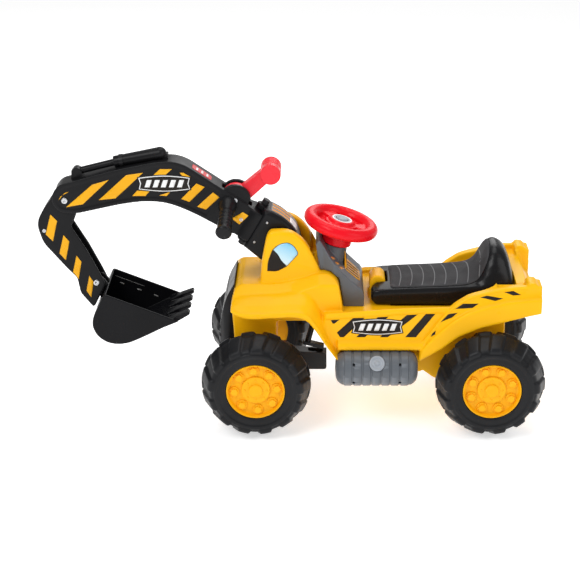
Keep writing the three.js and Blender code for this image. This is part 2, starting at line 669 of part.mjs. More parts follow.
// ---------- hand lever ----------
const LEVER_TOP = [-33, 410];
const LEVER_GRIP_RADIUS = 16.5;
const LEVER_HUB_RADIUS = 22;

function leverBody() {
  const hub = crossBar(LEVER_PIVOT, -8, 8, LEVER_HUB_RADIUS, 20);
  const arm = sideways([
    [-82, 384], [-40, 419], [-26, 403], [-68, 364],
  ], -8, 8);
  const grip = crossBar(LEVER_TOP, -24, 24, LEVER_GRIP_RADIUS, 18);
  const [pivotX, pivotZ] = LEVER_PIVOT;
  const crankFoot = pivotZ - LINK_CRANK - 7;
  const crank = sideways([
    [pivotX - 8, pivotZ], [pivotX + 8, pivotZ], [pivotX + 8, crankFoot, 5], [pivotX - 8, crankFoot, 5],
  ], -8, 8);
  const fork = sideways([[-125, 330], [-76, 330], [-76, 355], [-97, 362], [-97, 384], [-125, 396]], -4, 4);
  return joined(hub, arm, grip, crank).subtract(fork)
    .subtract(crossBar(LEVER_PIVOT, -30, 30, PIN_RADIUS + GAP))
    .subtract(crossBar(LEVER_LINK, -20, 20, LINK_PIN_RADIUS + GAP, 12));
}

piece('lever', leverBody(), 'red');
piece('lever_pin', crossBar(LEVER_PIVOT, -BOOM_HALF + GAP, BOOM_HALF - GAP, PIN_RADIUS), 'steel');

// ---------- pull rod inside the boom ----------
const PULL_ROD_HALF = 3.2;

function pullRodBody() {
  const [rearX, rearZ] = LEVER_LINK;
  const [frontX, frontZ] = STICK_LINK;
  const bar = sideways([
    [rearX + 4, rearZ - 5, 4], [-140, 366, 10], [-190, 391, 12], [-250, 390, 12], [frontX - 4, frontZ - 5, 4],
    [frontX - 5, frontZ + 5, 4], [-250, 399, 12], [-188, 400, 12], [-138, 376, 10],
    [rearX + 5, rearZ + 5, 4],
  ], -PULL_ROD_HALF, PULL_ROD_HALF, 3);
  const eye = (at) => crossBar(at, -PULL_ROD_HALF, PULL_ROD_HALF, 7, 16);
  return joined(bar, eye(LEVER_LINK), eye(STICK_LINK))
    .subtract(crossBar(LEVER_LINK, -20, 20, LINK_PIN_RADIUS + GAP, 12))
    .subtract(crossBar(STICK_LINK, -20, 20, LINK_PIN_RADIUS + GAP, 12));
}

piece('pull_rod', pullRodBody(), 'steel');
piece('lever_link_pin', crossBar(LEVER_LINK, -7.7, 7.7, LINK_PIN_RADIUS, 12), 'steel');

// ---------- side grips on the boom ----------
const GRIP_LENGTH = 70;

function sideGripBody(side) {
  const root = new THREE.Vector3(-102, side * (BOOM_HALF + GAP), 358);
  const out = new THREE.Vector3(-0.04, side * 0.96, -0.27).normalize();
  const collarEnd = root.clone().addScaledVector(out, 16);
  const start = root.clone().addScaledVector(out, 8);
  const end = root.clone().addScaledVector(out, GRIP_LENGTH);
  const collar = rod(new THREE.Vector3(root.x, root.y, root.z), collarEnd, 15, 20, 12);
  const knob = rod(end, end.clone().addScaledVector(out, 6), 13, 20, 10.5);
  const face = side < 0 ? [-140, -BOOM_HALF - GAP] : [BOOM_HALF + GAP, 140];
  return joined(collar, rod(start, end, 10.5, 20, 11.5), knob)
    .intersect(block(-160, -60, face[0], face[1], 280, 420));
}

piece('side_grip_left', sideGripBody(-1), 'black');
piece('side_grip_right', sideGripBody(1), 'black');

// ---------- stick ----------
const STICK_SIDE = [
  [-350, 380, 8], [-375, 381, 8], [-398, 352, 12], [-412, 326, 12], [-403, 292, 6], [-366, 246, 6],
  [-352, 231, 4], [-348, 204, 4], [-329, 179, 2], [-325, 182], [-306, 219, 4], [-312, 234, 6],
  [-334, 281], [-356, 320], [-344, 350, 8],
];

const STICK_INSIDE = [
  [-300, 400], [-392, 400], [-386, 352], [-404, 326], [-398, 295], [-361, 248], [-346, 233], [-342, 208],
  [-329, 186], [-329, 160], [-280, 160], [-280, 300],
];

function stickBody() {
  const innerHalf = STICK_HALF - WALL;
  const [linkX, linkZ] = STICK_LINK;
  const webTop = STICK_PIVOT[1] + 6;
  const web = bothSides([
    [linkX - 9, linkZ - 9, 4], [linkX + 9, linkZ - 9, 4], [linkX + 9, webTop], [linkX - 9, webTop],
  ], 4.2, innerHalf + 1);
  const back = sideways([
    [-392, 354], [-405, 326], [-399, 296], [-361, 249], [-364, 246.5], [-403, 292], [-411, 326], [-397, 354],
  ], -innerHalf - 1, innerHalf + 1);
  return sideways(STICK_SIDE, -STICK_HALF, STICK_HALF)
    .subtract(sideways(STICK_INSIDE, -innerHalf, innerHalf)).add(web).add(back.intersect(
      sideways(STICK_SIDE, -STICK_HALF, STICK_HALF)))
    .subtract(crossBar(STICK_PIVOT, -30, 30, PIN_RADIUS + GAP))
    .subtract(crossBar(BUCKET_PIVOT, -30, 30, PIN_RADIUS + GAP))
    .subtract(crossBar(STICK_LINK, -30, 30, LINK_PIN_RADIUS + GAP, 12));
}

piece('stick', stickBody(), 'black');
piece('stick_pin', crossBar(STICK_PIVOT, -BOOM_HALF + GAP, BOOM_HALF - GAP, PIN_RADIUS), 'steel');
piece('stick_link_pin', crossBar(STICK_LINK, -12, 12, LINK_PIN_RADIUS, 12), 'steel');

// ---------- bucket ----------
const BUCKET_SIDE = [
  [-303, 219, 3], [-323, 180, 10], [-326, 164, 8], [-319, 145, 10], [-300, 131, 12], [-272, 130, 12],
  [-243, 143, 12], [-210, 160, 8], [-184, 171],
];

const BUCKET_HOLLOW = [
  [-293, 232], [-319.5, 180, 10], [-322.5, 164, 8], [-316, 148, 10], [-299, 134.8, 12], [-272, 134, 12],
  [-245, 146.5, 12], [-211, 164, 8], [-170, 176], [-170, 232],
];

const TOOTH_COUNT = 4;
const TOOTH_PITCH = 30;
const TOOTH_HALF = 7;

function bucketBody() {
  const inner = BUCKET_HALF - BUCKET_WALL;
  let body = sideways(BUCKET_SIDE, -BUCKET_HALF, BUCKET_HALF)
    .subtract(sideways(BUCKET_HOLLOW, -inner, inner));
  const ear = [
    [-302, 217], [-312, 231, 6], [-322, 232, 6], [-331, 224, 6], [-330, 213, 6], [-316, 195],
  ];
  body = body.add(sideways(ear, -12, -6)).add(sideways(ear, 6, 12));
  const tooth = [[-206, 162], [-208, 169], [-187, 179], [-168, 186, 2], [-166, 181, 2], [-184, 170]];
  for (let i = 0; i < TOOTH_COUNT; i += 1) {
    const y = (i - (TOOTH_COUNT - 1) / 2) * TOOTH_PITCH;
    body = body.add(sideways(tooth, y - TOOTH_HALF, y + TOOTH_HALF));
  }
  return body.subtract(crossBar(BUCKET_PIVOT, -30, 30, PIN_RADIUS + GAP));
}

piece('bucket', bucketBody(), 'black');
piece('bucket_pin', crossBar(BUCKET_PIVOT, -STICK_HALF + GAP, STICK_HALF - GAP, PIN_RADIUS), 'steel');

export default group;
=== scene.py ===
# A child's ride-on digger: the visible pieces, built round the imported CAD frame.
# Outlines and sizes below are in millimetres in the CAD's frame: +Z up, the digging
# arm towards -X, the rider's left-hand side towards -Y. Meshes are made in metres.
import json
import math

import bmesh
import bpy
from mathutils import Matrix, Vector
from mathutils.bvhtree import BVHTree

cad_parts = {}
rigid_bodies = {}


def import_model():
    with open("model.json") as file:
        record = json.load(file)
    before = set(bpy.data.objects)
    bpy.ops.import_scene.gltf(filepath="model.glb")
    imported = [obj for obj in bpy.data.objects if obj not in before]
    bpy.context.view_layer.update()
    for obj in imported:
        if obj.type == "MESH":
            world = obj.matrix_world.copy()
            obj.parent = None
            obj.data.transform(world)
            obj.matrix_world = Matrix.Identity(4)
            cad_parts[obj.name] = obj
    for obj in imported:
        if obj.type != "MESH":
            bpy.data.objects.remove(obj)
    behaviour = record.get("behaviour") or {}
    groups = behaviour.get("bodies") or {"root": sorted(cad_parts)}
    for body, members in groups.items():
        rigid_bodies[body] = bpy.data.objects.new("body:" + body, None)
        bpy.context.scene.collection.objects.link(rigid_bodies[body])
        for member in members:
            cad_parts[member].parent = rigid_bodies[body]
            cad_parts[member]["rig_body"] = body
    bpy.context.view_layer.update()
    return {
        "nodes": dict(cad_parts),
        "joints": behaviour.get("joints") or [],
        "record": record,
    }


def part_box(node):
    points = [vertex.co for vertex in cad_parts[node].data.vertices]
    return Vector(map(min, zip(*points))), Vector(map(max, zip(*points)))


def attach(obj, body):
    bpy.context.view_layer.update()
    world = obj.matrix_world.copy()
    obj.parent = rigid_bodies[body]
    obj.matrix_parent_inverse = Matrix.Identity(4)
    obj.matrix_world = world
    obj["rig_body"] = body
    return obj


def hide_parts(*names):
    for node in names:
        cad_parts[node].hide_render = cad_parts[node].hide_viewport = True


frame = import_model()
MM = 0.001
SIDES = ((-1, "left"), (1, "right"))
PIN_BORE = 4.3                   # radius of the room for an 8 mm pin

SLOTS = {row["node"]: row["material_slot"] for row in frame["record"]["subparts"]}
JOINTS = {joint["name"]: joint for joint in frame["joints"]}


def pivot(name):
    """Where a joint is, in millimetres."""
    return Vector(JOINTS[name]["pos_m"]) / MM


def extent(node):
    """The lowest and highest corner of a CAD node, in millimetres."""
    low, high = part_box(node)
    return low / MM, high / MM


# ---------- mesh helpers ----------

def rounded(points, steps=6):
    """A closed outline of (u, v) or (u, v, corner radius) points, its corners turned into curves."""
    flat = []
    for i, point in enumerate(points):
        corner = Vector(point[:2])
        radius = point[2] if len(point) > 2 else 0
        back = Vector(points[i - 1][:2]) - corner
        forth = Vector(points[(i + 1) % len(points)][:2]) - corner
        cut = min(radius, 0.48 * back.length, 0.48 * forth.length)
        if cut <= 0:
            flat.append(corner)
            continue
        start = corner + back.normalized() * cut
        end = corner + forth.normalized() * cut
        for k in range(steps + 1):
            t = k / steps
            flat.append(start * (1 - t) ** 2 + corner * 2 * t * (1 - t) + end * t * t)
    return flat


def inset(points, distance):
    """The outline moved inwards by a distance, its corner points kept in order."""
    area = sum(points[i - 1][0] * p[1] - p[0] * points[i - 1][1] for i, p in enumerate(points))
    sign = 1 if area > 0 else -1
    moved = []
    for i, point in enumerate(points):
        before = (Vector(point[:2]) - Vector(points[i - 1][:2])).normalized()
        after = (Vector(points[(i + 1) % len(points)][:2]) - Vector(point[:2])).normalized()
        along = (before + after).normalized()
        normal = Vector((-along.y, along.x)) * sign
        share = max(0.5, normal.dot(Vector((-after.y, after.x)) * sign))
        moved.append(Vector(point[:2]) + normal * (distance / share))
    return moved


def place(axis, u, v, w):
    """An outline's point (u, v) at distance w along the axis that it is carried along."""
    if axis == "y":
        return Vector((u, w, v))
    if axis == "x":
        return Vector((w, u, v))
    return Vector((u, v, w))


def mesh_object(name, vertices, faces, merge=False):
    """An object from points in millimetres, with its faces turned outwards."""
    mesh = bpy.data.meshes.new(name)
    mesh.from_pydata([Vector(v) * MM for v in vertices], [], faces)
    work = bmesh.new()
    work.from_mesh(mesh)
    if merge:
        bmesh.ops.remove_doubles(work, verts=work.verts, dist=1e-6)
    bmesh.ops.recalc_face_normals(work, faces=work.faces)
    work.to_mesh(mesh)
    work.free()
    obj = bpy.data.objects.new(name, mesh)
    bpy.context.scene.collection.objects.link(obj)
    return obj


def loft(name, rings, closed=False, merge=False):
    """A solid through rings of equally many points; closed joins the last ring to the first."""
    size = len(rings[0])
    vertices = [point for ring in rings for point in ring]
    faces = []
    for i in range(len(rings) if closed else len(rings) - 1):
        a, b = i * size, (i + 1) % len(rings) * size
        for j in range(size):
            k = (j + 1) % size
            faces.append((a + j, a + k, b + k, b + j))
    if not closed and not merge:
        faces.append(tuple(range(size - 1, -1, -1)))
        faces.append(tuple(range((len(rings) - 1) * size, len(rings) * size)))
    return mesh_object(name, vertices, faces, merge)


def prism(name, points, low, high, axis="y", steps=6):
    """An outline with rounded corners, carried along an axis from low to high."""
    flat = rounded(points, steps)
    return loft(name, [[place(axis, u, v, w) for u, v in flat] for w in (low, high)])


def box(name, x0, x1, y0, y1, z0, z1):
    """A plain block."""
    return prism(name, [(x0, z0), (x1, z0), (x1, z1), (x0, z1)], y0, y1)


def facing(origin, direction, spin=0.0):
    """A matrix, in millimetres, whose Z runs along a direction from an origin."""
    turn = Vector(direction).to_track_quat("Z", "Y").to_matrix().to_4x4()
    return Matrix.Translation(Vector(origin)) @ turn @ Matrix.Rotation(spin, 4, "Z")


def lathe(name, profile, matrix, segments=48):
    """A profile of (radius, height) points turned about the matrix's Z axis."""
    closed = profile[0] == profile[-1]
    points = profile[:-1] if closed else profile
    rings = []
    for radius, height in points:
        rings.append([matrix @ Vector((radius * math.cos(2 * math.pi * i / segments),
                                       radius * math.sin(2 * math.pi * i / segments), height))
                      for i in range(segments)])
    return loft(name, rings, closed=closed, merge=not closed)


def rod(name, start, end, radius, segments=32, end_radius=None, round_over=0.0):
    """A round bar, or a cone if it has an end radius, with its end edges rounded over if asked."""
    start, end = Vector(start), Vector(end)
    length = (end - start).length
    last = radius if end_radius is None else end_radius
    if round_over == 0:
        profile = [(0, 0), (radius, 0), (last, length), (0, length)]
    else:
        edge, part = round_over, 0.3 * round_over
        profile = [(0, 0), (radius - edge, 0), (radius - part, part), (radius, edge),
                   (last, length - edge), (last - part, length - part), (last - edge, length), (0, length)]
    return lathe(name, profile, facing(start, end - start), segments)


def cross_bar(name, at, y0, y1, radius, segments=32, round_over=0.0):
    """A round bar across the toy, through the point (x, z)."""
    return rod(name, (at[0], y0, at[1]), (at[0], y1, at[1]), radius, segments, round_over=round_over)


def side_point(joint):
    """Where a joint is in the side view, as (x, z)."""
    return pivot(joint).x, pivot(joint).z


def across(side, inner, outer):
    """The lower and the higher Y of a stretch between two distances out on one side."""
    return sorted((side * inner, side * outer))


def pin_bore(at, radius=PIN_BORE):
    """The room for a pin that runs across the arm, through the point (x, z)."""
    return cross_bar("pin_bore", at, -30, 30, radius)


def layers(outline, stations):
    """The outline at several distances across, each time inset by its own amount."""
    return [(y, inset(outline, shrink) if shrink else outline) for y, shrink in stations]


def bake(obj):
    """Applies every modifier of an object to its mesh."""
    depsgraph = bpy.context.evaluated_depsgraph_get()
    mesh = bpy.data.meshes.new_from_object(obj.evaluated_get(depsgraph))
    obj.modifiers.clear()
    obj.data = mesh
    return obj


def combine(target, others, operation="UNION"):
    """Joins other solids to the target, or cuts it with them, and uses them up."""
    for other in others:
        modifier = target.modifiers.new("combine", "BOOLEAN")
        modifier.operation = operation
        modifier.solver = "MANIFOLD"
        modifier.object = other
        bake(target)
        bpy.data.objects.remove(other)
    return target


def smooth_faces(obj):
    """Shades every face of an object smoothly."""
    for polygon in obj.data.polygons:
        polygon.use_smooth = True
    return obj


def mould(obj, voxel=1.6, passes=4):
    """Turns a solid into one skin with the soft edges of a blow moulding."""
    skin = obj.modifiers.new("skin", "REMESH")
    skin.mode = "VOXEL"
    skin.voxel_size = voxel * MM
    soften = obj.modifiers.new("soften", "SMOOTH")
    soften.factor = 0.5
    soften.iterations = passes
    bake(obj)
    return smooth_faces(obj)


def ease(obj, width=1.2, segments=3, angle=35):
    """Rounds the sharp edges of a solid and shades its flat faces flat."""
    bevel = obj.modifiers.new("bevel", "BEVEL")
    bevel.width = width * MM
    bevel.segments = segments
    bevel.limit_method = "ANGLE"
    bevel.angle_limit = math.radians(angle)
    bevel.use_clamp_overlap = True
    weigh = obj.modifiers.new("weigh", "WEIGHTED_NORMAL")
    weigh.keep_sharp = False
    return smooth_faces(obj)


def skin_of(obj):
    """What rays can hit of an object, modifiers included."""
    return BVHTree.FromObject(obj, bpy.context.evaluated_depsgraph_get())


def sticker(name, points, matrix, tree, lift=0.3, spacing=5.0, steps=6, thickness=0.25):
    """A thin sheet with this outline in the matrix's XY plane, laid on a surface along the matrix's -Z."""
    work = bmesh.new()
    flat = rounded(points, steps)
    work.faces.new([work.verts.new((u, v, 0)) for u, v in flat])
    for axis in (0, 1):
        values = [point[axis] for point in flat]
        cut = (math.floor(min(values) / spacing) + 1) * spacing
        while cut < max(values):
            normal = [0, 0, 0]
            normal[axis] = 1
            bmesh.ops.bisect_plane(work, geom=work.verts[:] + work.edges[:] + work.faces[:],
                                   plane_co=[cut * part for part in normal], plane_no=normal)
            cut += spacing
    ray = (matrix.to_3x3() @ Vector((0, 0, -1))).normalized()
    for vertex in work.verts:
        start = matrix @ vertex.co
        hit, normal, _, _ = tree.ray_cast(start * MM, ray)
        if hit is None:
            raise RuntimeError(f"{name} misses the surface at {tuple(start)}")
        vertex.co = hit + normal * lift * MM
    mesh = bpy.data.meshes.new(name)
    work.to_mesh(mesh)
    work.free()
    obj = bpy.data.objects.new(name, mesh)
    bpy.context.scene.collection.objects.link(obj)
    thicken = obj.modifiers.new("thickness", "SOLIDIFY")
    thicken.thickness = thickness * MM
    thicken.offset = -1 if (mesh.polygons[0].normal.dot(ray) < 0) else 1
    return smooth_faces(obj)


def from_side(side, reach=300):
    """Looks at the object from one side: the outline's u is X and its v is Z."""
    return Matrix(((1, 0, 0, 0), (0, 0, side, side * reach), (0, 1, 0, 0), (0, 0, 0, 1)))


# Looks down at the object: the outline's u is X and its v is Y.
FROM_TOP = Matrix.Translation((0, 0, 600))


# ---------- materials ----------

def tint(colour, factor):
    """A lighter or darker version of a colour."""
    return tuple(min(1.0, part * factor) for part in colour)


def material(name, colour, roughness=0.4, metallic=0.0, coat=0.0, mottle=0.06, grain=0.02, grain_scale=900,
             ripple=0.06, wear=0.25, wear_colour=None, specular=0.5):
    """Moulded plastic or metal: mottled colour, worn edges, uneven gloss, fine grain and slow ripple."""
    made = bpy.data.materials.new(name)
    made.use_nodes = True
    nodes, links = made.node_tree.nodes, made.node_tree.links
    shader = nodes["Principled BSDF"]
    shader.inputs["Metallic"].default_value = metallic
    shader.inputs["Coat Weight"].default_value = coat
    shader.inputs["Coat Roughness"].default_value = 0.12
    shader.inputs["Specular IOR Level"].default_value = specular
    where = nodes.new("ShaderNodeTexCoord")

    def noise(scale, detail):
        node = nodes.new("ShaderNodeTexNoise")
        node.inputs["Scale"].default_value = scale
        node.inputs["Detail"].default_value = detail
        links.new(where.outputs["Object"], node.inputs["Vector"])
        return node.outputs["Fac"]

    def span(value, low, high, out_low, out_high):
        node = nodes.new("ShaderNodeMapRange")
        for key, number in (("From Min", low), ("From Max", high), ("To Min", out_low), ("To Max", out_high)):
            node.inputs[key].default_value = number
        links.new(value, node.inputs["Value"])
        return node.outputs["Result"]

    def blend(factor, first, second):
        node = nodes.new("ShaderNodeMix")
        node.data_type = "RGBA"
        links.new(factor, node.inputs["Factor"])
        for key, value in (("A", first), ("B", second)):
            socket = [s for s in node.inputs if s.name == key and s.type == "RGBA"][0]
            if isinstance(value, tuple):
                socket.default_value = (*value, 1)
            else:
                links.new(value, socket)
        return [s for s in node.outputs if s.type == "RGBA"][0]

    slow = noise(16, 3)
    base = blend(span(slow, 0.3, 0.7, 0, 1), tint(colour, 1 - mottle), tint(colour, 1 + mottle))
    geometry = nodes.new("ShaderNodeNewGeometry")
    edges = span(geometry.outputs["Pointiness"], 0.52, 0.6, 0, wear)
    worn = wear_colour or tint(tuple(part + 0.02 for part in colour), 1.25)
    links.new(blend(edges, base, worn), shader.inputs["Base Color"])
    links.new(span(noise(42, 4), 0.25, 0.75, roughness * 0.85, min(1, roughness * 1.2)),
              shader.inputs["Roughness"])
    fine = nodes.new("ShaderNodeBump")
    fine.inputs["Distance"].default_value = 0.0004
    fine.inputs["Strength"].default_value = grain
    links.new(noise(grain_scale, 2), fine.inputs["Height"])
    slow_bump = nodes.new("ShaderNodeBump")
    slow_bump.inputs["Distance"].default_value = 0.004
    slow_bump.inputs["Strength"].default_value = ripple
    links.new(noise(30, 1), slow_bump.inputs["Height"])
    links.new(fine.outputs["Normal"], slow_bump.inputs["Normal"])
    links.new(slow_bump.outputs["Normal"], shader.inputs["Normal"])
    return made


YELLOW = (0.97, 0.50, 0.004)
MATERIALS = {
    "yellow": material("yellow_moulded", YELLOW, 0.30, specular=0.14, mottle=0.035, ripple=0.1, wear=0.35,
                       wear_colour=(1.0, 0.62, 0.05)),
    "hub": material("yellow_hub", (0.92, 0.44, 0.004), 0.40, specular=0.16, mottle=0.03, wear=0.3,
                    wear_colour=(1.0, 0.6, 0.04)),
    "boom": material("black_moulded", (0.007, 0.007, 0.008), 0.34, specular=0.16, mottle=0.2, grain=0.12,
                     ripple=0.1, wear=0.25, wear_colour=(0.07, 0.07, 0.075)),
    "gloss": material("black_gloss", (0.007, 0.007, 0.008), 0.26, specular=0.22, mottle=0.2, ripple=0.08,
                      wear=0.2, wear_colour=(0.05, 0.05, 0.055)),
    "bucket": material("black_bucket", (0.005, 0.005, 0.006), 0.25, specular=0.13, mottle=0.2, grain=0.1,
                       ripple=0.12, wear=0.25, wear_colour=(0.06, 0.06, 0.065)),
    "tyre": material("black_tyre", (0.008, 0.0085, 0.010), 0.38, specular=0.2, mottle=0.25, grain=0.25,
                     grain_scale=1400, ripple=0.16, wear=0.3, wear_colour=(0.045, 0.045, 0.05)),
    "pad": material("black_seat_pad", (0.035, 0.034, 0.036), 0.72, mottle=0.12, grain=0.6, grain_scale=1800,
                    ripple=0.05, wear=0.2, wear_colour=(0.09, 0.09, 0.095), specular=0.3),
    "groove": material("seat_pad_groove", (0.13, 0.13, 0.135), 0.6, grain=0.3),
    "grey": material("grey_moulded", (0.105, 0.117, 0.132), 0.34, specular=0.35, mottle=0.06, grain=0.08,
                     ripple=0.1, wear=0.35, wear_colour=(0.28, 0.30, 0.33)),
    "pale": material("pale_grey_moulded", (0.32, 0.35, 0.39), 0.45, mottle=0.05, grain=0.08, wear=0.2),
    "red": material("red_moulded", (0.80, 0.006, 0.016), 0.26, specular=0.16, mottle=0.05, ripple=0.1,
                    wear=0.3, wear_colour=(0.95, 0.10, 0.13)),
    "steel": material("zinc_steel", (0.52, 0.53, 0.55), 0.32, metallic=1.0, mottle=0.12, grain=0.3, wear=0.2),
    "sticker_yellow": material("sticker_yellow", (0.84, 0.40, 0.006), 0.33, specular=0.2, mottle=0.04,
                               ripple=0.03),
    "sticker_black": material("sticker_black", (0.014, 0.011, 0.009), 0.36, specular=0.16, mottle=0.15,
                              ripple=0.03),
    "sticker_white": material("sticker_white", (0.82, 0.83, 0.84), 0.38, mottle=0.03, ripple=0.03),
    "sticker_red": material("sticker_red", (0.62, 0.03, 0.035), 0.38, mottle=0.05, ripple=0.03),
    "sticker_grey": material("sticker_grey", (0.22, 0.215, 0.21), 0.4, mottle=0.08, ripple=0.03),
    "sticker_orange": material("sticker_orange", (0.82, 0.33, 0.03), 0.38, mottle=0.06, ripple=0.03),
}


def window_material():
    """A printed window: deep blue high up, paling to white low down."""
    made = material("sticker_window", (0.4, 0.7, 0.9), 0.3, coat=0.2, ripple=0.03)
    nodes, links = made.node_tree.nodes, made.node_tree.links
    where = nodes.new("ShaderNodeTexCoord")
    turn = nodes.new("ShaderNodeVectorMath")
    turn.operation = "DOT_PRODUCT"
    turn.inputs[1].default_value = (0.45, 0, 0.9)
    links.new(where.outputs["Object"], turn.inputs[0])
    ramp = nodes.new("ShaderNodeMapRange")
    ramp.inputs["From Min"].default_value = 0.225
    ramp.inputs["From Max"].default_value = 0.278
    links.new(turn.outputs["Value"], ramp.inputs["Value"])
    colours = nodes.new("ShaderNodeValToRGB")
    colours.color_ramp.elements[0].color = (0.86, 0.92, 0.96, 1)
    colours.color_ramp.elements[1].color = (0.10, 0.50, 0.82, 1)
    middle = colours.color_ramp.elements.new(0.45)
    middle.color = (0.50, 0.76, 0.90, 1)
    links.new(ramp.outputs["Result"], colours.inputs["Fac"])
    links.new(colours.outputs["Color"], nodes["Principled BSDF"].inputs["Base Color"])
    return made


MATERIALS["window"] = window_material()


def finish_piece(obj, look, node, replace=True):
    """Gives a piece its look and the body of a CAD node, which it can stand for."""
    obj.data.materials.clear()
    obj.data.materials.append(MATERIALS[look])
    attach(obj, frame["nodes"][node]["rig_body"])
    if replace:
        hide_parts(node)
    return obj


def stickers(prefix, outlines, look, matrix, tree, node, **how):
    """Lays several outlines on a surface, all with one look and riding on one node's body."""
    for i, points in enumerate(outlines):
        obj = sticker(f"{prefix}_{i + 1}", points, matrix, tree, **how)
        finish_piece(obj, look, node, replace=False)


# ---------- body ----------
FLARE_CREASE = 76                # where the front wheel flares leave the bonnet
FLARE_LIP = 112
WALL_HALF = 92
WELL_HALF = 62
WHEEL_ROOM = 67                  # the wheels turn outside this
BEYOND = 140                     # further out than anything on the body
CHEEK_FOOT = 262                 # below this height the cheeks spread outwards
CHEEK_SPREAD = 0.12
TAIL_X = 346                     # behind this the tail overhangs open space
DECK = 197

FRONT_CREASE = [(-95, 220), (-86, 225), (-60, 227), (-20, 228), (10, 230), (31, 225), (42, 209), (49, 192),
                (57, 168), (65, 148), (75, 130)]
FRONT_LIP = [(-97, 211), (-82, 202), (-63, 198), (-25, 200), (6, 201), (24, 195), (37, 180), (48, 163),
             (58, 147), (69, 131), (76, 125)]
REAR_LIP = [(204, 121), (224, 133), (242, 144), (267, 164), (285, 172), (303, 180), (339, 190), (372, 199),
            (398, 205)]
REAR_RIDGE = [(209, 141), (222, 158), (237, 173), (257, 191), (272, 201), (289, 210), (337, 224), (368, 228),
              (398, 231)]
REAR_UPPER = [(207, 150), (220, 166), (236, 190), (256, 213), (272, 225), (289, 234), (337, 246), (368, 249),
              (398, 249)]


def between(a, b, share):
    """A point part of the way from one point to another."""
    return Vector(a) * (1 - share) + Vector(b) * share


def denser(points, parts=3):
    """A smooth curve through points, each stretch cut into parts."""
    result = []
    for i in range(len(points) - 1):
        before = Vector(points[max(i - 1, 0)])
        start, end = Vector(points[i]), Vector(points[i + 1])
        after = Vector(points[min(i + 2, len(points) - 1)])
        for k in range(parts):
            t = k / parts
            result.append(0.5 * ((2 * start) + (end - before) * t
                                 + (2 * before - 5 * start + 4 * end - after) * t ** 2
                                 + (3 * start - before - 3 * end + after) * t ** 3))
    result.append(Vector(points[-1]))
    return result


def front_flare(side):
    """The skirt over a front wheel, bulging out from the crease and turned in at its lip."""
    rings = []
    for crease, lip in zip(denser(FRONT_CREASE), denser(FRONT_LIP)):
        stations = [(0.0, 58), (0.0, FLARE_CREASE - 3), (0.05, FLARE_CREASE + 4), (0.14, 86), (0.38, 97),
                    (0.60, 105), (0.66, 107), (0.70, FLARE_LIP), (0.97, FLARE_LIP),
                    (1.0, FLARE_LIP - 1.5), (1.0, 58)]
        rings.append([Vector((p.x, side * y, p.y))
                      for p, y in ((between(crease, lip, share), y) for share, y in stations)])
    return loft("flare", rings)


def rear_flare(side):
    """The guard over a rear wheel: an upright band, a ridge, a sloping band and a level top."""
    rings = []
    for lip, ridge, upper in zip(denser(REAR_LIP), denser(REAR_RIDGE), denser(REAR_UPPER)):
        stations = [(lip, 60), (lip, 105), (between(lip, ridge, 0.06), 107), (between(lip, ridge, 0.94), 107),
                    (ridge, 105.5), (between(ridge, upper, 0.05), 101), (between(ridge, upper, 0.82), 97),
                    (between(ridge, upper, 0.88), 100), (upper, 98.5), (upper, 60)]
        rings.append([Vector((p[0], side * y, p[1])) for p, y in stations])
    return loft("guard", rings)


def shoulder(side):
    """What comes off a top edge of the bonnet: a slope that follows its roof down to the flare."""
    rings = []
    for x, roof in ((-130, 238), (0, 239), (20, 247), (44, 256), (90, 256)):
        corners = ((58, 1), (96, -27), (96, 30), (58, 30))
        rings.append([Vector((x, side * y, roof + rise)) for y, rise in corners])
    return loft("shoulder", rings)


def bonnet():
    """The nose: its side view carried across, cut to its view from the front."""
    side = [(-92, 122, 8), (-97, 200), (-93, 229, 6), (-84, 238, 8), (-20, 238, 30), (17, 246, 30),
            (44, 256, 14), (62, 256, 14), (75, 246, 12), (83, 200), (83, 140), (60, 140), (48, 122)]
    section = [(-78, 110), (78, 110), (78, 243, 6), (73, 254, 10), (62, 262, 6), (-62, 262, 6),
               (-73, 254, 10), (-78, 243, 6)]
    body = prism("body", side, -90, 90)
    combine(body, [prism("section", section, -130, 100, "x")], "INTERSECT")
    return combine(body, [shoulder(-1), shoulder(1)], "DIFFERENCE")


def cheek(side):
    """An upright plate beside the turret, thinned towards both its faces."""
    outline = [(-51, 232), (-49, 268, 20), (-40, 314, 12), (-34, 324, 6), (-4, 325, 20), (17, 311, 18),
               (31, 291, 14), (41, 271, 14), (51, 244, 6), (50, 232)]
    rings = []
    for y, ring in layers(rounded(outline, 8), ((31.6, 2.5), (33, 0), (46, 0), (49.5, 2.0), (51, 5.0))):
        rings.append([Vector((u, side * (y + max(0, CHEEK_FOOT - v) * CHEEK_SPREAD), v)) for u, v in ring])
    return loft("cheek", rings)


def middle():
    """What lies between the wheels: side walls, rails, ledges, skirt and the keel below."""
    wall = prism("wall", [(76, 130), (84, 140), (268, 140), (268, 210), (256, 210), (193, 208), (117, 203.5),
                          (82, 199), (51, 197), (52, 186), (57, 168), (65, 148)], -WALL_HALF, WALL_HALF)
    rail_side = [(54, 191), (108, 195), (194, 201), (258, 203.5), (258, 211.5, 3), (193, 210),
                 (117, 205.5, 8), (54, 200, 3)]
    rails = [prism("rail", rail_side, *across(side, 90, 95)) for side in (-1, 1)]
    ledge_ends = [(-102, 139, 3), (102, 139, 3), (102, 149, 3), (92, 157), (-92, 157), (-102, 149, 3)]
    ledge = prism("ledge", ledge_ends, 74, 214, "x")
    skirt = prism("skirt", [(72, 124, 6), (212, 124, 6), (212, 145), (72, 145)], -84, 84)
    keel = box("keel", 75, 212, -66, 66, 84, 141)
    return [wall, *rails, ledge, skirt, keel]


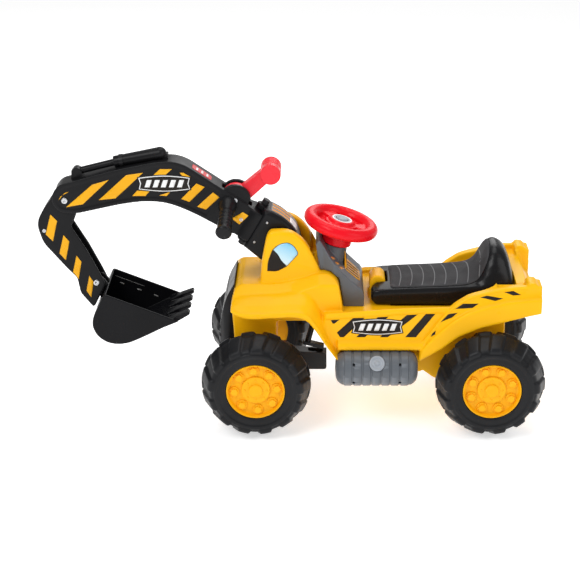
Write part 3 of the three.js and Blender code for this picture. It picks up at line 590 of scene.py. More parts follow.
def tail():
    """The block between the rear wheels and the raised lamp corners on top of it."""
    core_side = [(200, 98), (236, 70, 10), (332, 70, 16), (TAIL_X, 100, 10), (TAIL_X, 188), (397, 205),
                 (394, 238, 6), (200, 238)]
    core = prism("core", core_side, -66, 66)
    lamp_side = [(374, 192), (399, 198), (399, 228), (391, 253, 5), (376, 256, 6), (372, 240)]
    return [core, *(prism("lamp", lamp_side, *across(side, 66, 99)) for side in (-1, 1))]


def body_shell():
    """The whole yellow moulding, with the rooms and bores that the other pieces need."""
    body = bonnet()
    adds = [cheek(-1), cheek(1)] + middle() + tail()
    adds += [front_flare(-1), front_flare(1), rear_flare(-1), rear_flare(1)]
    combine(body, adds)
    arch = [(-140, 60), (60, 60), (76, 122), (48, 161, 8), (24, 193, 10), (8, 199, 6), (-63, 196, 8),
            (-84, 200), (-98, 208), (-140, 208)]
    rear_arch = [(196, 60), (420, 60), (420, 209), (398, 203), (339, 188, 20), (303, 178, 20), (267, 162, 20),
                 (242, 142, 12), (204, 119), (196, 114)]
    cuts = []
    for side in (-1, 1):
        cuts.append(prism("arch", arch, *across(side, WHEEL_ROOM, BEYOND)))
        cuts.append(prism("rear_arch", rear_arch, *across(side, WHEEL_ROOM, BEYOND)))
    tail_room = [(TAIL_X, 60), (420, 60), (420, 209), (398, 204), (TAIL_X, 189)]
    cuts.append(prism("tail_room", tail_room, -BEYOND, BEYOND))
    steering_room = [(-25, 70), (66, 70), (66, 142), (48, 176), (-25, 176)]
    cuts.append(prism("steering_room", steering_room, -WHEEL_ROOM, WHEEL_ROOM))
    cuts.append(box("slot", -70, 36, -31.6, 31.6, 246, 400))
    cuts.append(box("slot_back", 30, 96, -45, 45, 256, 400))
    cuts.append(box("tail_top", 329, 374, -88, 88, 239, 300))
    cuts.append(box("seat_well", 82.2, 362, -WELL_HALF, WELL_HALF, DECK, 300))
    cuts.append(prism("wide_well", [(82.2, -84), (330, -84, 30), (330, 84, 30), (82.2, 84)], DECK, 300, "z"))
    cuts.append(box("storage", 160, 338, -50, 50, 112, 300))
    scoop = [(372, 262), (384, 226, 12), (392, 213, 6), (420, 213), (420, 300), (372, 300)]
    cuts.append(prism("scoop", scoop, -64, 64))
    combine(body, cuts, "DIFFERENCE")
    knuckle = [(127, 190), (153, 190), (153, 229, 5), (146, 236, 6), (133, 236, 8), (127, 226, 4)]
    combine(body, [prism("knuckle", knuckle, -20, 20)])
    kingpin_x = pivot("front_axle_turn").x
    bores = [cross_bar("axle_bore", side_point("rear_left_spin"), -90, 90, 5.6),
             rod("kingpin_bore", (kingpin_x, 0, 80), (kingpin_x, 0, 168), 6.6),
             cross_bar("seat_bore", side_point("seat_lift"), -30, 30, 4.6)]
    return combine(body, bores, "DIFFERENCE")


shell = mould(body_shell(), voxel=1.7, passes=4)
shell.name = "moulded_body"
finish_piece(shell, "yellow", "body_shell")
shell_skin = skin_of(shell)


# ---------- body stickers ----------

def slanted(x, low, high, width, lean):
    """A stripe standing between two heights, leaning towards +X as it rises."""
    return [(x, low), (x + width, low), (x + width + lean, high), (x + lean, high)]


def badge(prefix, centre, width, height, matrix, tree, node):
    """A plain plaque: dark shield with a pale rim and a row of pale bars."""
    x, z = centre
    half, tall = width / 2, height / 2
    plaque = [(x - half, z + 0.75 * tall), (x - 0.5 * half, z + 0.95 * tall, 9), (x, z + 1.05 * tall, 12),
              (x + 0.5 * half, z + 0.95 * tall, 9), (x + half, z + 0.75 * tall), (x + 0.93 * half, z),
              (x + half, z - 0.75 * tall), (x + 0.5 * half, z - 0.95 * tall, 9), (x, z - 1.05 * tall, 12),
              (x - 0.5 * half, z - 0.95 * tall, 9), (x - half, z - 0.75 * tall), (x - 0.93 * half, z)]
    sheets = (("back", 0, "sticker_black", 0.55), ("rim", 1.6, "sticker_white", 0.75),
              ("field", 3.0, "sticker_black", 0.95))
    for layer, shrink, look, lift in sheets:
        outline = inset(rounded(plaque, 5), shrink) if shrink else rounded(plaque, 5)
        stickers(f"{prefix}_{layer}", [outline], look, matrix, tree, node, lift=lift)
    pitch = 0.30 * half
    bars = []
    for i in range(-2, 3):
        foot = x + i * pitch - 0.075 * half
        bars.append(slanted(foot - 0.06 * half, z - 0.42 * tall, z + 0.42 * tall, 0.18 * half, 0.10 * half))
    stickers(prefix + "_bar", bars, "sticker_white", matrix, tree, node, lift=1.15)


for side, label in SIDES:
    view = from_side(side)
    stripes = [[(78, 159), (73, 167), (99, 193), (117, 193), (84, 159)],
               [(104, 159), (138, 194), (155, 195), (118, 159)],
               [(142, 159), (185, 198), (202, 199), (155, 159)],
               [(183, 159), (215, 200), (230, 200), (200, 159)],
               [(63, 189), (77, 190), (69, 183), (66, 183)]]
    stickers(f"wall_stripe_{label}", stripes, "sticker_black", view, shell_skin, "body_shell")
    badge(f"wall_badge_{label}", (138, 177), 84, 29, view, shell_skin, "body_shell")

# ---------- wheels ----------
LUGS = 13
LUG_HEIGHT = 4.0
LUG_HALF = 12.0                  # half a lug's length round the tread
LUG_SLANT = 8.0
TREAD_RADIUS = 85.0
TRACK = 116.0
HUB_FACE = 24.0                  # outer face of the hub disc, from the tyre's middle
NUT_CIRCLE = 34.5
NUTS = 8
DOT_CIRCLE = 17.6
DOTS = 8
TYRE_STEPS = 20                  # stretches of mesh for each lug
SHOULDER = 34                    # the distance out at which a lug has shifted by its slant
TYRE_EDGE = 36.0                 # the tyre's half width
# One half of the tyre's section: (radius, distance out from the middle).
TYRE_HALF = [(85, 0.01), (84.2, 5), (81, 12), (78.7, 18), (76, 24), (73.5, 30), (70.5, 33.5), (67, 34.8),
             (65.8, 35.9), (61, 35.9), (59.5, 35), (54, 34.8), (49.5, 34.2), (47.5, 32), (47.4, 20)]


def ramp(value, low, high):
    """Rises smoothly from 0 at low to 1 at high."""
    share = min(1.0, max(0.0, (value - low) / (high - low)))
    return share * share * (3 - 2 * share)


def tyre(name, centre):
    """A crowned tyre with two rows of slanted lugs that wrap over its shoulders."""
    half = denser(TYRE_HALF, 2)
    section = [Vector((p.x, -p.y)) for p in reversed(half)] + half[1:]
    slopes = []
    for i, point in enumerate(section):
        ahead = section[min(i + 1, len(section) - 1)] - section[max(i - 1, 0)]
        slopes.append(Vector((ahead.y, -ahead.x)).normalized())
    count = LUGS * TYRE_STEPS
    pitch = 2 * math.pi / LUGS
    rings = []
    for i in range(count):
        angle = 2 * math.pi * i / count
        ring = []
        for point, slope in zip(section, slopes):
            row = 1 if point.y > 0 else -1
            shift = LUG_SLANT / TREAD_RADIUS * abs(point.y) / SHOULDER + (pitch / 2 if row > 0 else 0)
            away = abs((angle - shift + pitch / 2) % pitch - pitch / 2) * TREAD_RADIUS
            height = LUG_HEIGHT * (1 - ramp(away, LUG_HALF - 2.4, LUG_HALF + 0.6)) * ramp(point.x, 66.5, 69.5)
            height *= ramp(abs(point.y), 0.5, 2.5)
            spot = point + slope * height
            out = min(max(spot.y, -TYRE_EDGE), TYRE_EDGE)
            ring.append((centre[0] + spot.x * math.cos(angle), centre[1] + out,
                         centre[2] + spot.x * math.sin(angle)))
        rings.append(ring)
    return smooth_faces(loft(name, rings, closed=True))


def on_circle(matrix, radius, angle):
    """A point on a circle about the matrix's Z axis."""
    return matrix @ Vector((radius * math.cos(angle), radius * math.sin(angle), 0))


def hub(name, centre, side, phase):
    """The yellow disc sunk inside the tyre, with eight moulded nuts on round pads."""
    matrix = facing(centre, (0, side, 0))
    body = lathe(name, [(5.6, 16), (19, 16), (19, HUB_FACE), (40, HUB_FACE + 0.4), (42.4, 26), (43.6, 30),
                        (44.4, 32.6), (45.4, 33.6), (46.6, 33), (47, 31), (47, -30), (5.6, -30), (5.6, 16)],
                 matrix, 96)
    pad_side = [(0, 20), (8.5, 20), (8.5, HUB_FACE + 2.4), (7.9, HUB_FACE + 3), (0, HUB_FACE + 3)]
    nut_side = [(0, 21), (6.3, 21), (6.3, HUB_FACE + 5.4), (5.6, HUB_FACE + 6), (0, HUB_FACE + 6)]
    adds = []
    for i in range(NUTS):
        angle = phase + i * 2 * math.pi / NUTS
        here = facing(on_circle(matrix, NUT_CIRCLE, angle), (0, side, 0), angle)
        adds += [lathe("pad", pad_side, here, 32), lathe("nut", nut_side, here, 6)]
    return ease(combine(body, adds), 0.5, 2)


def hub_cap(name, centre, side):
    """The stepped cap on the hub's middle, with a ring of small dots."""
    matrix = facing(centre, (0, side, 0))
    body = lathe(name, [(0, 23.3), (15, 23.3), (15, 24.3), (23, 24.3), (23, 26.4), (22.2, 27.3), (13, 27.6),
                        (11.4, 28.2), (11, 30.4), (10, 31.3), (0, 31.6)], matrix, 64)
    dot_side = [(0, 26), (1.5, 26), (1.5, 28), (1.0, 28.5), (0, 28.6)]
    dots = []
    for i in range(DOTS):
        at = on_circle(matrix, DOT_CIRCLE, i * 2 * math.pi / DOTS)
        dots.append(lathe("dot", dot_side, facing(at, (0, side, 0)), 16))
    return ease(combine(body, dots), 0.4, 2)


for end, joint, phase in (("front", "front_left_spin", 5), ("rear", "rear_left_spin", 20)):
    axle_x = pivot(joint).x
    for side, label in SIDES:
        middle_point = (axle_x, side * TRACK, pivot(joint).z)
        corner = f"{end}_{label}"
        finish_piece(tyre(f"tyre_{corner}", middle_point), "tyre", f"{corner}_tyre")
        finish_piece(hub(f"hub_{corner}", middle_point, side, math.radians(phase)), "hub", f"{corner}_hub")
        finish_piece(hub_cap(f"cap_{corner}", middle_point, side), "hub", f"{corner}_hub_cap")


# ---------- seat ----------
# (x, half width, rim height, middle height, how square the crown is)
SEAT_STATIONS = [(129, 50, 213, 215, 2), (132, 52.5, 220, 221, 2), (138, 54, 223, 225, 2),
                 (150, 54.5, 225, 228, 2), (190, 55, 227, 230.5, 2), (230, 55, 228.5, 232, 2),
                 (262, 56, 230, 234.5, 2), (282, 57, 231, 239, 2.2), (302, 58.5, 232, 256, 2.6),
                 (314, 59.5, 234, 280, 3.2), (327, 59.5, 236, 290, 3.6), (341, 57.5, 237, 285, 3.6),
                 (351, 55, 237, 272, 3.2), (358, 52, 232, 252, 2.5)]
SEAT_FOOT = 198.5
FRONT_EDGE = 136                 # ahead of this the foot turns up, to clear the deck as the seat lifts
FRONT_RISE = 0.9
GROOVES = 8
GROOVE_START = 173
GROOVE_PITCH = 18.5
GROOVE_BOW = 5
GROOVE_WIDTH = 1.5


def seat_body():
    """The seat lofted from front to back, with a notch for the hinge knuckle and a hollow below."""
    rings = []
    for station in denser([Vector(station) for station in SEAT_STATIONS]):
        x, half, rim, middle_z, power = station
        foot = SEAT_FOOT + FRONT_RISE * max(0, FRONT_EDGE - x)
        ring = [(x, -(half - 3), foot), (x, half - 3, foot), (x, half, foot + 4), (x, half, rim - 7)]
        for k in range(21):
            u = 1 - k / 10
            ring.append((x, (half - 2) * u, rim + (middle_z - rim) * (1 - abs(u) ** power)))
        ring += [(x, -half, rim - 7), (x, -half, foot + 4)]
        rings.append(ring)
    body = loft("seat_moulding", rings)
    cuts = [box("notch", 120, 156, -22, 22, 190, 250),
            prism("hollow", [(160, 190), (354, 190), (353, 230), (160, 220)], -42, 42),
            cross_bar("bore", side_point("seat_lift"), -40.5, 40.5, PIN_BORE)]
    return mould(combine(body, cuts, "DIFFERENCE"), voxel=1.5, passes=3)


seat = finish_piece(seat_body(), "gloss", "seat")
seat_skin = skin_of(seat)
pad_outline = [(160, -48, 8), (262, -49, 20), (296, -49, 10), (318, -40, 10), (323, 0, 20), (318, 40, 10),
               (296, 49, 10), (262, 49, 20), (160, 48, 8)]
pad = sticker("seat_pad", pad_outline, FROM_TOP, seat_skin, lift=1.2, thickness=1.6)
finish_piece(pad, "pad", "seat", replace=False)
for i in range(GROOVES):
    x = GROOVE_START + GROOVE_PITCH * i
    half = 44.5 + 0.2 * i
    curve = [(x + GROOVE_BOW * (1 - (k / 6 - 1) ** 2), half * (k / 6 - 1)) for k in range(13)]
    strip = curve + [(u + GROOVE_WIDTH, v) for u, v in reversed(curve)]
    groove = sticker(f"seat_groove_{i + 1}", strip, FROM_TOP, seat_skin, lift=1.35, spacing=8)
    finish_piece(groove, "groove", "seat", replace=False)


# ---------- console and steering ----------
STEERING_CENTRE = pivot("steering_turn")
COLUMN_UP = Vector(JOINTS["steering_turn"]["axis"]).normalized()
RIM_RADIUS = 51                  # from the column to the middle of the rim
RIM_HALF = 10.6                  # half the rim's thickness


def along_column(distance):
    """A point on the steering column's axis."""
    return STEERING_CENTRE + COLUMN_UP * distance


def console():
    """The dashboard's wedge and the neck of the steering column, which rises out of it."""
    wedge = [(83.4, 197.3), (83.4, 203), (76.4, 246), (64, 256.4), (46, 256.4), (42, 278), (39, 300),
             (45, 308, 4), (52, 297, 5), (61, 281, 6), (80, 257, 6), (115, 224, 4), (117, 216, 3),
             (117, 197.3)]
    body = prism("console_moulding", wedge, -60, 60)
    plan = [(30, -44.6), (51, -44.6), (68, -56), (120, -56), (120, 56), (68, 56), (51, 44.6), (30, 44.6)]
    combine(body, [prism("plan", plan, 190, 320, "z")], "INTERSECT")
    above = [(47.5, 263.2), (76, 263.2), (86, 240), (120, 240), (120, 340), (47.5, 340)]
    neck = rod("neck", along_column(-70), along_column(-36), 23, 48, 20)
    combine(neck, [prism("above", above, -50, 50)], "INTERSECT")
    combine(body, [neck])
    room = rod("room", along_column(-35.4), along_column(10), 26.2, 48)
    bore = rod("bore", along_column(-260), along_column(20), 6.5, 32)
    return mould(combine(body, [room, bore], "DIFFERENCE"), voxel=1.4, passes=3)


console_piece = finish_piece(console(), "grey", "console")
console_skin = skin_of(console_piece)
panel = [[(86, -28, 6), (111, -24, 6), (111, 24, 6), (86, 28, 6)]]
stickers("console_panel", panel, "sticker_yellow", FROM_TOP, console_skin, "console")
panel_bars = [[(88, y), (109, y + 5), (109, y + 9), (88, y + 4)] for y in (-22, -11, 0, 11)]
stickers("console_bar", panel_bars, "sticker_black", FROM_TOP, console_skin, "console", lift=0.55)
for side, label in SIDES:
    low, high = across(side, 30, 43)
    flashes = [[(x, low), (x + 3.5, low), (x + 7.5, high), (x + 4, high)] for x in (63, 70, 77)]
    stickers(f"console_flash_{label}", flashes, "sticker_orange", FROM_TOP, console_skin, "console")


def steering_frame():
    """A matrix whose Z runs up the steering column."""
    return facing(STEERING_CENTRE, COLUMN_UP)


def steering_wheel():
    """A thick round rim on a dished web with three arc openings, and a collar below."""
    matrix = steering_frame()
    turns = [2 * math.pi * k / 24 for k in range(24)]
    ring = [(RIM_RADIUS + RIM_HALF * math.cos(turn), RIM_HALF * math.sin(turn)) for turn in turns]
    rim = lathe("wheel_moulding", ring + ring[:1], matrix, 96)
    web_side = [(6, -14), (6, -34), (24.8, -34), (25, -20), (22, -9), (30, -9), (46, -8), (48, 0), (44, 3),
                (30, 1.5), (22, 2), (20, 6), (18, 7), (10.3, 7), (10.3, 3.4), (6, 3.4), (6, -14)]
    web = lathe("web", web_side, matrix, 72)
    combine(rim, [web])
    forward = matrix.to_3x3().inverted() @ Vector((1, 0, 0))
    start = math.atan2(forward.y, forward.x)
    openings = []
    for i in range(3):
        middle_angle = start + math.pi / 3 + i * 2 * math.pi / 3
        sweep = [middle_angle + math.radians(82 * k / 8 - 41) for k in range(9)]
        arc = [(26, angle) for angle in sweep] + [(40, angle) for angle in reversed(sweep)]
        edge = [(radius * math.cos(angle), radius * math.sin(angle)) for radius, angle in arc]
        openings.append(loft("opening", [[matrix @ Vector((u, v, w)) for u, v in edge] for w in (-4, 12)]))
    return mould(combine(rim, openings, "DIFFERENCE"), voxel=1.2, passes=4)


finish_piece(steering_wheel(), "red", "steering_wheel")
button_side = [(0, 4), (9.6, 4), (9.6, 8.2), (8.8, 9.4), (7.4, 9.9), (7.0, 9.4), (3, 9.9), (0, 10.1)]
button = lathe("horn_cap", button_side, steering_frame(), 48)
finish_piece(smooth_faces(button), "pale", "horn_button")
for name, inner, outer, look in (("face", 10.6, 14.0, "pale"), ("edge", 14.0, 16.2, "sticker_white")):
    ring = lathe(f"horn_{name}_ring", [(inner, 6.8), (outer, 6.8), (outer, 7.6), (inner, 7.6), (inner, 6.8)],
                 steering_frame(), 48)
    finish_piece(ring, look, "steering_wheel", replace=False)

# ---------- tanks and grille ----------
TANK_LENGTH = 134.0
TANK_END = 14                    # each plain end, beyond the bands
TANK_BANDS = 7
TANK_PITCH = (TANK_LENGTH - 2 * TANK_END) / TANK_BANDS
TANK_RADIUS = 29                 # over the bands
TANK_GROOVE = 27.6               # in the grooves between them
TANK_OUT = 100                   # from the toy's middle to the tank's
TANK_HEIGHT = 108
CAP_X = 137
CAP_TILT = math.radians(40)      # how far up from level the filler cap faces
CAP_SEAT = 26                    # from the tank's middle to the cap's seat


def tank(name, side):
    """A banded barrel whose inner side is cut flat against the body, and its filler cap."""
    low, _ = extent(f"tank_{name}")
    end = [(14, 0.8), (20, 3), (24.5, 7), (27.3, 12)]
    profile = [(0, 0), *end]
    for i in range(TANK_BANDS):
        start = TANK_END + i * TANK_PITCH
        profile += [(TANK_GROOVE, start), (TANK_RADIUS, start + 1.4),
                    (TANK_RADIUS, start + TANK_PITCH - 3.2), (TANK_GROOVE, start + TANK_PITCH - 1.8)]
    profile += [(radius, TANK_LENGTH - height) for radius, height in reversed(end)] + [(0, TANK_LENGTH)]
    along = facing((low.x, side * TANK_OUT, TANK_HEIGHT), (1, 0, 0))
    body = lathe(f"tank_moulding_{name}", profile, along, 72)
    combine(body, [box("near", 50, 230, *across(side, 66.3, BEYOND), 60, 150)], "INTERSECT")
    out = Vector((0, side * math.cos(CAP_TILT), math.sin(CAP_TILT)))
    centre = Vector((CAP_X, side * TANK_OUT, TANK_HEIGHT))
    cap_seat = centre + out * CAP_SEAT
    cuts = [rod("seat_cut", cap_seat, centre + out * 40, 13.3, 48)]
    for x in (100, 174):
        for z in (93, 124):
            cuts.append(cross_bar("screw_hole", (x, z), *across(side, 112, BEYOND), 2.4, 20))
    finish_piece(ease(combine(body, cuts, "DIFFERENCE"), 0.5, 2), "grey", f"tank_{name}")
    cap_profile = [(0, 0.3), (12.5, 0.3), (12.5, 3.2), (11.6, 4.4), (9.4, 4.6), (8.8, 3.6), (4, 3.8),
                   (3.4, 5), (0, 5.2)]
    cap = lathe(f"filler_cap_{name}", cap_profile, facing(cap_seat, out), 64)
    finish_piece(smooth_faces(cap), "pale", f"tank_cap_{name}")


for side, label in SIDES:
    tank(label, side)


def grille():
    """The bowed front, with six slots that follow its slope."""
    side = [(-92, 126), (-121, 124, 6), (-119, 155), (-112, 190, 12), (-106, 212, 8), (-92.5, 236, 3),
            (-91.5, 226.5), (-96.4, 195)]
    plan = [(-90, -52), (-90, 52), (-108, 52, 10), (-122, 34, 8), (-122, -34, 8), (-108, -52, 10)]
    body = prism("grille_moulding", side, -54, 54)
    combine(body, [prism("plan", plan, 100, 260, "z")], "INTERSECT")
    slots = []
    for i in range(6):
        z = 136 + 14 * i
        front = -121 + max(0, z - 150) * 0.22
        slots.append(box("slot", front - 12, front + 4, -42, 42, z, z + 6))
    return ease(combine(body, slots, "DIFFERENCE"), 1.0, 3)


finish_piece(grille(), "boom", "grille")

# ---------- turret ----------
SWING_POINT = pivot("boom_swing")
SWING_UP = Vector(JOINTS["boom_swing"]["axis"]).normalized()
BOOM_OUT = Vector((-SWING_UP.z, 0, SWING_UP.x))
LUG_INNER, LUG_OUTER = 26, 36    # how far up and down the swing pin the lugs lie
PAST_PIN = 60                    # beyond both ends of the swing pin


def at_swing(up, out):
    """A point this far up the leaning swing pin and this far out from it along the arm."""
    return SWING_POINT + SWING_UP * up + BOOM_OUT * out


def xz(up, out, *radius):
    """The same point in the side view, with a corner radius if one is given."""
    point = at_swing(up, out)
    return (point.x, point.z, *radius)


def swing_rod(low, high, radius, segments=32):
    """A round bar along the swing pin."""
    return rod("swing_rod", at_swing(low, 0), at_swing(high, 0), radius, segments)


def lug(low, high):
    """One ear of the turret, round in front, between two heights on the swing pin."""
    bar = swing_rod(low, high, 11, 40)
    root = prism("root", [xz(low, 0), xz(high, 0), xz(high, -12), xz(low, -12)], -11, 11)
    return combine(bar, [root])


def turret():
    """The block between the cheeks, hollowed for the boom's root between two lugs."""
    outline = [xz(LUG_OUTER, -1), (-33, 350, 6), (-15, 340, 22), (4, 322, 18), (14, 301, 14), (15, 286, 12),
               (0, 262, 10), (-46, 262, 8), xz(-LUG_OUTER, -1)]
    stations = ((-30.5, 4.5), (-26, 1.2), (-21, 0), (21, 0), (26, 1.2), (30.5, 4.5))
    rings = [[Vector((u, y, v)) for u, v in ring] for y, ring in layers(rounded(outline, 10), stations)]
    body = loft("turret_moulding", rings)
    gap = LUG_INNER + 0.3
    combine(body, [swing_rod(-gap, gap, 28.5, 64)], "DIFFERENCE")
    combine(body, [lug(gap, LUG_OUTER), lug(-LUG_OUTER, -gap)])
    cuts = [swing_rod(LUG_OUTER, PAST_PIN, 7), swing_rod(-PAST_PIN, -LUG_OUTER, 7),
            swing_rod(-PAST_PIN, PAST_PIN, PIN_BORE),
            cross_bar("pitch_bore", side_point("boom_pitch"), -40, 40, 5.3)]
    return mould(combine(body, cuts, "DIFFERENCE"), voxel=1.2, passes=3)


turret_piece = finish_piece(turret(), "boom", "turret")
turret_skin = skin_of(turret_piece)
band = [[(-33, -20), (9, -20, 4), (9, 20, 4), (-33, 20)]]
stickers("turret_band", band, "sticker_grey", FROM_TOP, turret_skin, "turret", lift=0.25)
stripes = [[(-31, y), (-1, y), (-1, y + 6), (-31, y + 6)] for y in (-17, -4, 9)]
stickers("turret_stripe", stripes, "sticker_orange", FROM_TOP, turret_skin, "turret", lift=0.5)
plate = [[(-3, -18, 3), (8, -18, 3), (8, 6, 3), (-3, 6, 3)]]
stickers("turret_plate", plate, "sticker_white", FROM_TOP, turret_skin, "turret", lift=0.75)


def screw(name, at, side, node, half=3.2):
    """A countersunk steel screw head lying on a side face."""
    profile = [(0, -0.6), (half, -0.6), (half, 0.5), (half - 0.6, 0.9), (1.0, 0.9), (0.8, 0.2), (0, 0.2)]
    head = lathe(name, profile, facing(at, (0, side, 0)), 24)
    finish_piece(smooth_faces(head), "steel", node, replace=False)


# ---------- boom ----------
BOOM_HALF = 21
BOOM_SIDE = [xz(-LUG_INNER, 0), (-99, 312, 16), (-153, 343, 22), (-183, 357, 22), (-207, 364, 14),
             (-240, 365, 14), (-274, 360, 14), (-345, 344, 8), (-372, 346, 10), (-384, 362, 10),
             (-382, 378, 8), (-371, 392, 8), (-281, 417, 14), (-217, 430, 14), (-190, 432, 18),
             (-169, 426, 20), (-118, 391, 16), xz(LUG_INNER, 0)]
BOOM_INSIDE = [xz(-LUG_INNER + 6, 14), (-99, 318, 10), (-153, 349, 14), (-183, 363, 14), (-207, 370, 10),
               (-240, 371, 10), (-274, 366, 10), (-308, 358), (-308, 330), (-400, 330), (-400, 378, 4),
               (-371, 386, 4), (-281, 411, 8), (-217, 424, 10), (-190, 426, 10), (-171, 420, 12),
               (-120, 385, 10), xz(LUG_INNER - 6, 14)]
LEVER_AT = side_point("lever_pull")
STICK_AT = side_point("stick_turn")
PANEL_END = -112                 # the sunk side panel lies ahead of this


def boom():
    """A hollow arm with a swing knuckle at its root and a dome for the lever on top."""
    body = prism("boom_moulding", BOOM_SIDE, -BOOM_HALF, BOOM_HALF, steps=8)
    combine(body, [prism("inside", BOOM_INSIDE, -17.5, 17.5)], "DIFFERENCE")
    adds = [swing_rod(-LUG_INNER, LUG_INNER, 27, 64)]
    adds += [cross_bar("dome", LEVER_AT, *across(side, 10, 18), 25, 64) for side in (-1, 1)]
    combine(body, adds)
    panel = [point for point in inset(rounded(BOOM_SIDE, 8), 6) if point.x < PANEL_END]
    cuts = [cross_bar("lever_slot", LEVER_AT, -9, 9, 28.5, 64), swing_rod(LUG_INNER, PAST_PIN, 30, 64),
            swing_rod(-PAST_PIN, -LUG_INNER, 30, 64), swing_rod(-PAST_PIN, PAST_PIN, PIN_BORE),
            pin_bore(LEVER_AT), pin_bore(STICK_AT)]
    for side in (-1, 1):
        depths = across(side, BOOM_HALF - 0.8, BOOM_HALF + 4)
        cuts.append(loft("panel", [[place("y", u, v, w) for u, v in panel] for w in depths]))
    return mould(combine(body, cuts, "DIFFERENCE"), voxel=1.3, passes=3)


boom_piece = finish_piece(boom(), "boom", "boom")
boom_skin = skin_of(boom_piece)
BOOM_FLASHES = [[(-308, 367), (-281, 370), (-235, 413), (-262, 409)],
                [(-361, 355), (-334, 360), (-290, 401), (-317, 393)],
                [(-372, 367), (-369, 373), (-355, 381), (-362, 379)],
                [(-96, 336), (-84, 326), (-69, 341), (-78, 347)],
                slanted(-219, 409, 419, 19, 11),
                slanted(-254, 374, 383, 21, 8),
                [(-177, 413), (-171, 413), (-160, 406), (-167, 400)],
                [(-211, 375), (-193, 381), (-199, 374)],
                [(-176, 369), (-163, 364), (-138, 389), (-151, 395)],
                [(-151, 356), (-137, 351), (-115, 372), (-125, 380)]]
for side, label in SIDES:
    view = from_side(side)
    stickers(f"boom_flash_{label}", BOOM_FLASHES, "sticker_yellow", view, boom_skin, "boom")
    badge(f"boom_badge_{label}", (-202, 395), 86, 29, view, boom_skin, "boom")
plate = [[(-158, -12, 4), (-128, -14, 4), (-128, 6, 4), (-158, 8, 4)]]
stickers("boom_plate", plate, "sticker_red", FROM_TOP, boom_skin, "boom")
bars = [[(x, -9), (x + 3, -9), (x + 3, 3), (x, 3)] for x in (-152, -144, -136)]
stickers("boom_plate_bar", bars, "sticker_white", FROM_TOP, boom_skin, "boom", lift=0.55)

# ---------- mock hydraulic cylinder ----------
CYLINDER_REAR = Vector((-209, 0, 439))
CYLINDER_MID = Vector((-283, 0, 425))
CYLINDER_FRONT = Vector((-343, 0, 409))
DOME_RADIUS = 10.4


def boom_room():
    """What the boom takes out of a piece that lies on it."""
    return prism("boom_room", BOOM_SIDE, -25, 25, steps=8)


def cylinder_barrel():
    """The barrel with its round rear end, a collar in front and a foot on the boom."""
    barrel = rod("barrel_moulding", CYLINDER_REAR, CYLINDER_MID, 10.2, 48, 9, round_over=1.2)
    turns = [math.radians(15 * k) for k in range(1, 12)]
    half_round = [(DOME_RADIUS * math.sin(turn), -DOME_RADIUS * math.cos(turn)) for turn in turns]
    dome = lathe("dome", [(0, -DOME_RADIUS), *half_round, (0, DOME_RADIUS)],
                 Matrix.Translation(CYLINDER_REAR), 40)
    foot = prism("foot", [(-216, 422), (-196, 424), (-196, 440), (-216, 440)], -6, 6)
    band = rod("band", CYLINDER_MID + Vector((9, 0, 1.5)), CYLINDER_MID + Vector((15, 0, 2.5)), 10.4, 48)
    combine(barrel, [dome, foot, band])
    socket = rod("socket", (-262, 0, 429.5), CYLINDER_FRONT, 5.9, 32)
    return ease(combine(barrel, [boom_room(), socket], "DIFFERENCE"), 0.6, 2)


def cylinder_rod():
    """The rod that sticks out of the barrel, with an eye and a foot in front."""
    shank = rod("piston_moulding", (-264, 0, 429), CYLINDER_FRONT, 5.6, 32)
    eye = cross_bar("eye", (CYLINDER_FRONT.x, CYLINDER_FRONT.z), -8, 8, 8, 40, round_over=0.8)
    foot = prism("foot", [(-352, 394), (-333, 398), (-335, 412), (-351, 412)], -8, 8)
    combine(shank, [eye, foot])
    return ease(combine(shank, [boom_room()], "DIFFERENCE"), 0.6, 2)


finish_piece(cylinder_barrel(), "boom", "cylinder_barrel")
finish_piece(cylinder_rod(), "boom", "cylinder_rod")

# ---------- hand lever and side grips ----------
LINK_CRANK = 18                  # from the lever's pivot down to its link pin
LINK_BORE = 2.8
LEVER_HALF = 8
GRIP_RADIUS = 16.5
GRIP_HALF = 24


def lever():
    """A disc in the boom's dome, with a crank below it and an arm to the grooved grip."""
    x, z = LEVER_AT
    body = cross_bar("lever_moulding", LEVER_AT, -LEVER_HALF, LEVER_HALF, 22, 64, round_over=1)
    arm = prism("arm", [(-82, 384), (-40, 419), (-26, 403), (-68, 364)], -LEVER_HALF, LEVER_HALF)
    crank_end = z - LINK_CRANK - 7
    crank_side = [(x - 8, z), (x + 8, z), (x + 8, crank_end, 5), (x - 8, crank_end, 5)]
    crank = prism("crank", crank_side, -LEVER_HALF, LEVER_HALF)
    profile = [(0, -GRIP_HALF), (15.3, -GRIP_HALF), (GRIP_RADIUS, 1.2 - GRIP_HALF), (GRIP_RADIUS, -8)]
    for i in range(4):
        start = -6 + 7.4 * i
        profile += [(15.2, start), (15.2, start + 1.2), (GRIP_RADIUS, start + 2.6),
                    (GRIP_RADIUS, start + 5.6)]
    profile += [(16.2, 23.2), (15, GRIP_HALF), (0, GRIP_HALF)]
    grip = lathe("grip", profile, facing((-33, 0, 410), (0, 1, 0)), 64)
    combine(body, [arm, crank, grip])
    fork = [(-125, 330), (-76, 330), (-76, 355), (-97, 362), (-97, 384), (-125, 396)]
    cuts = [prism("fork", fork, -4, 4), pin_bore(LEVER_AT), pin_bore((x, z - LINK_CRANK), LINK_BORE)]
    return ease(combine(body, cuts, "DIFFERENCE"), 0.8, 3)


finish_piece(lever(), "red", "lever")


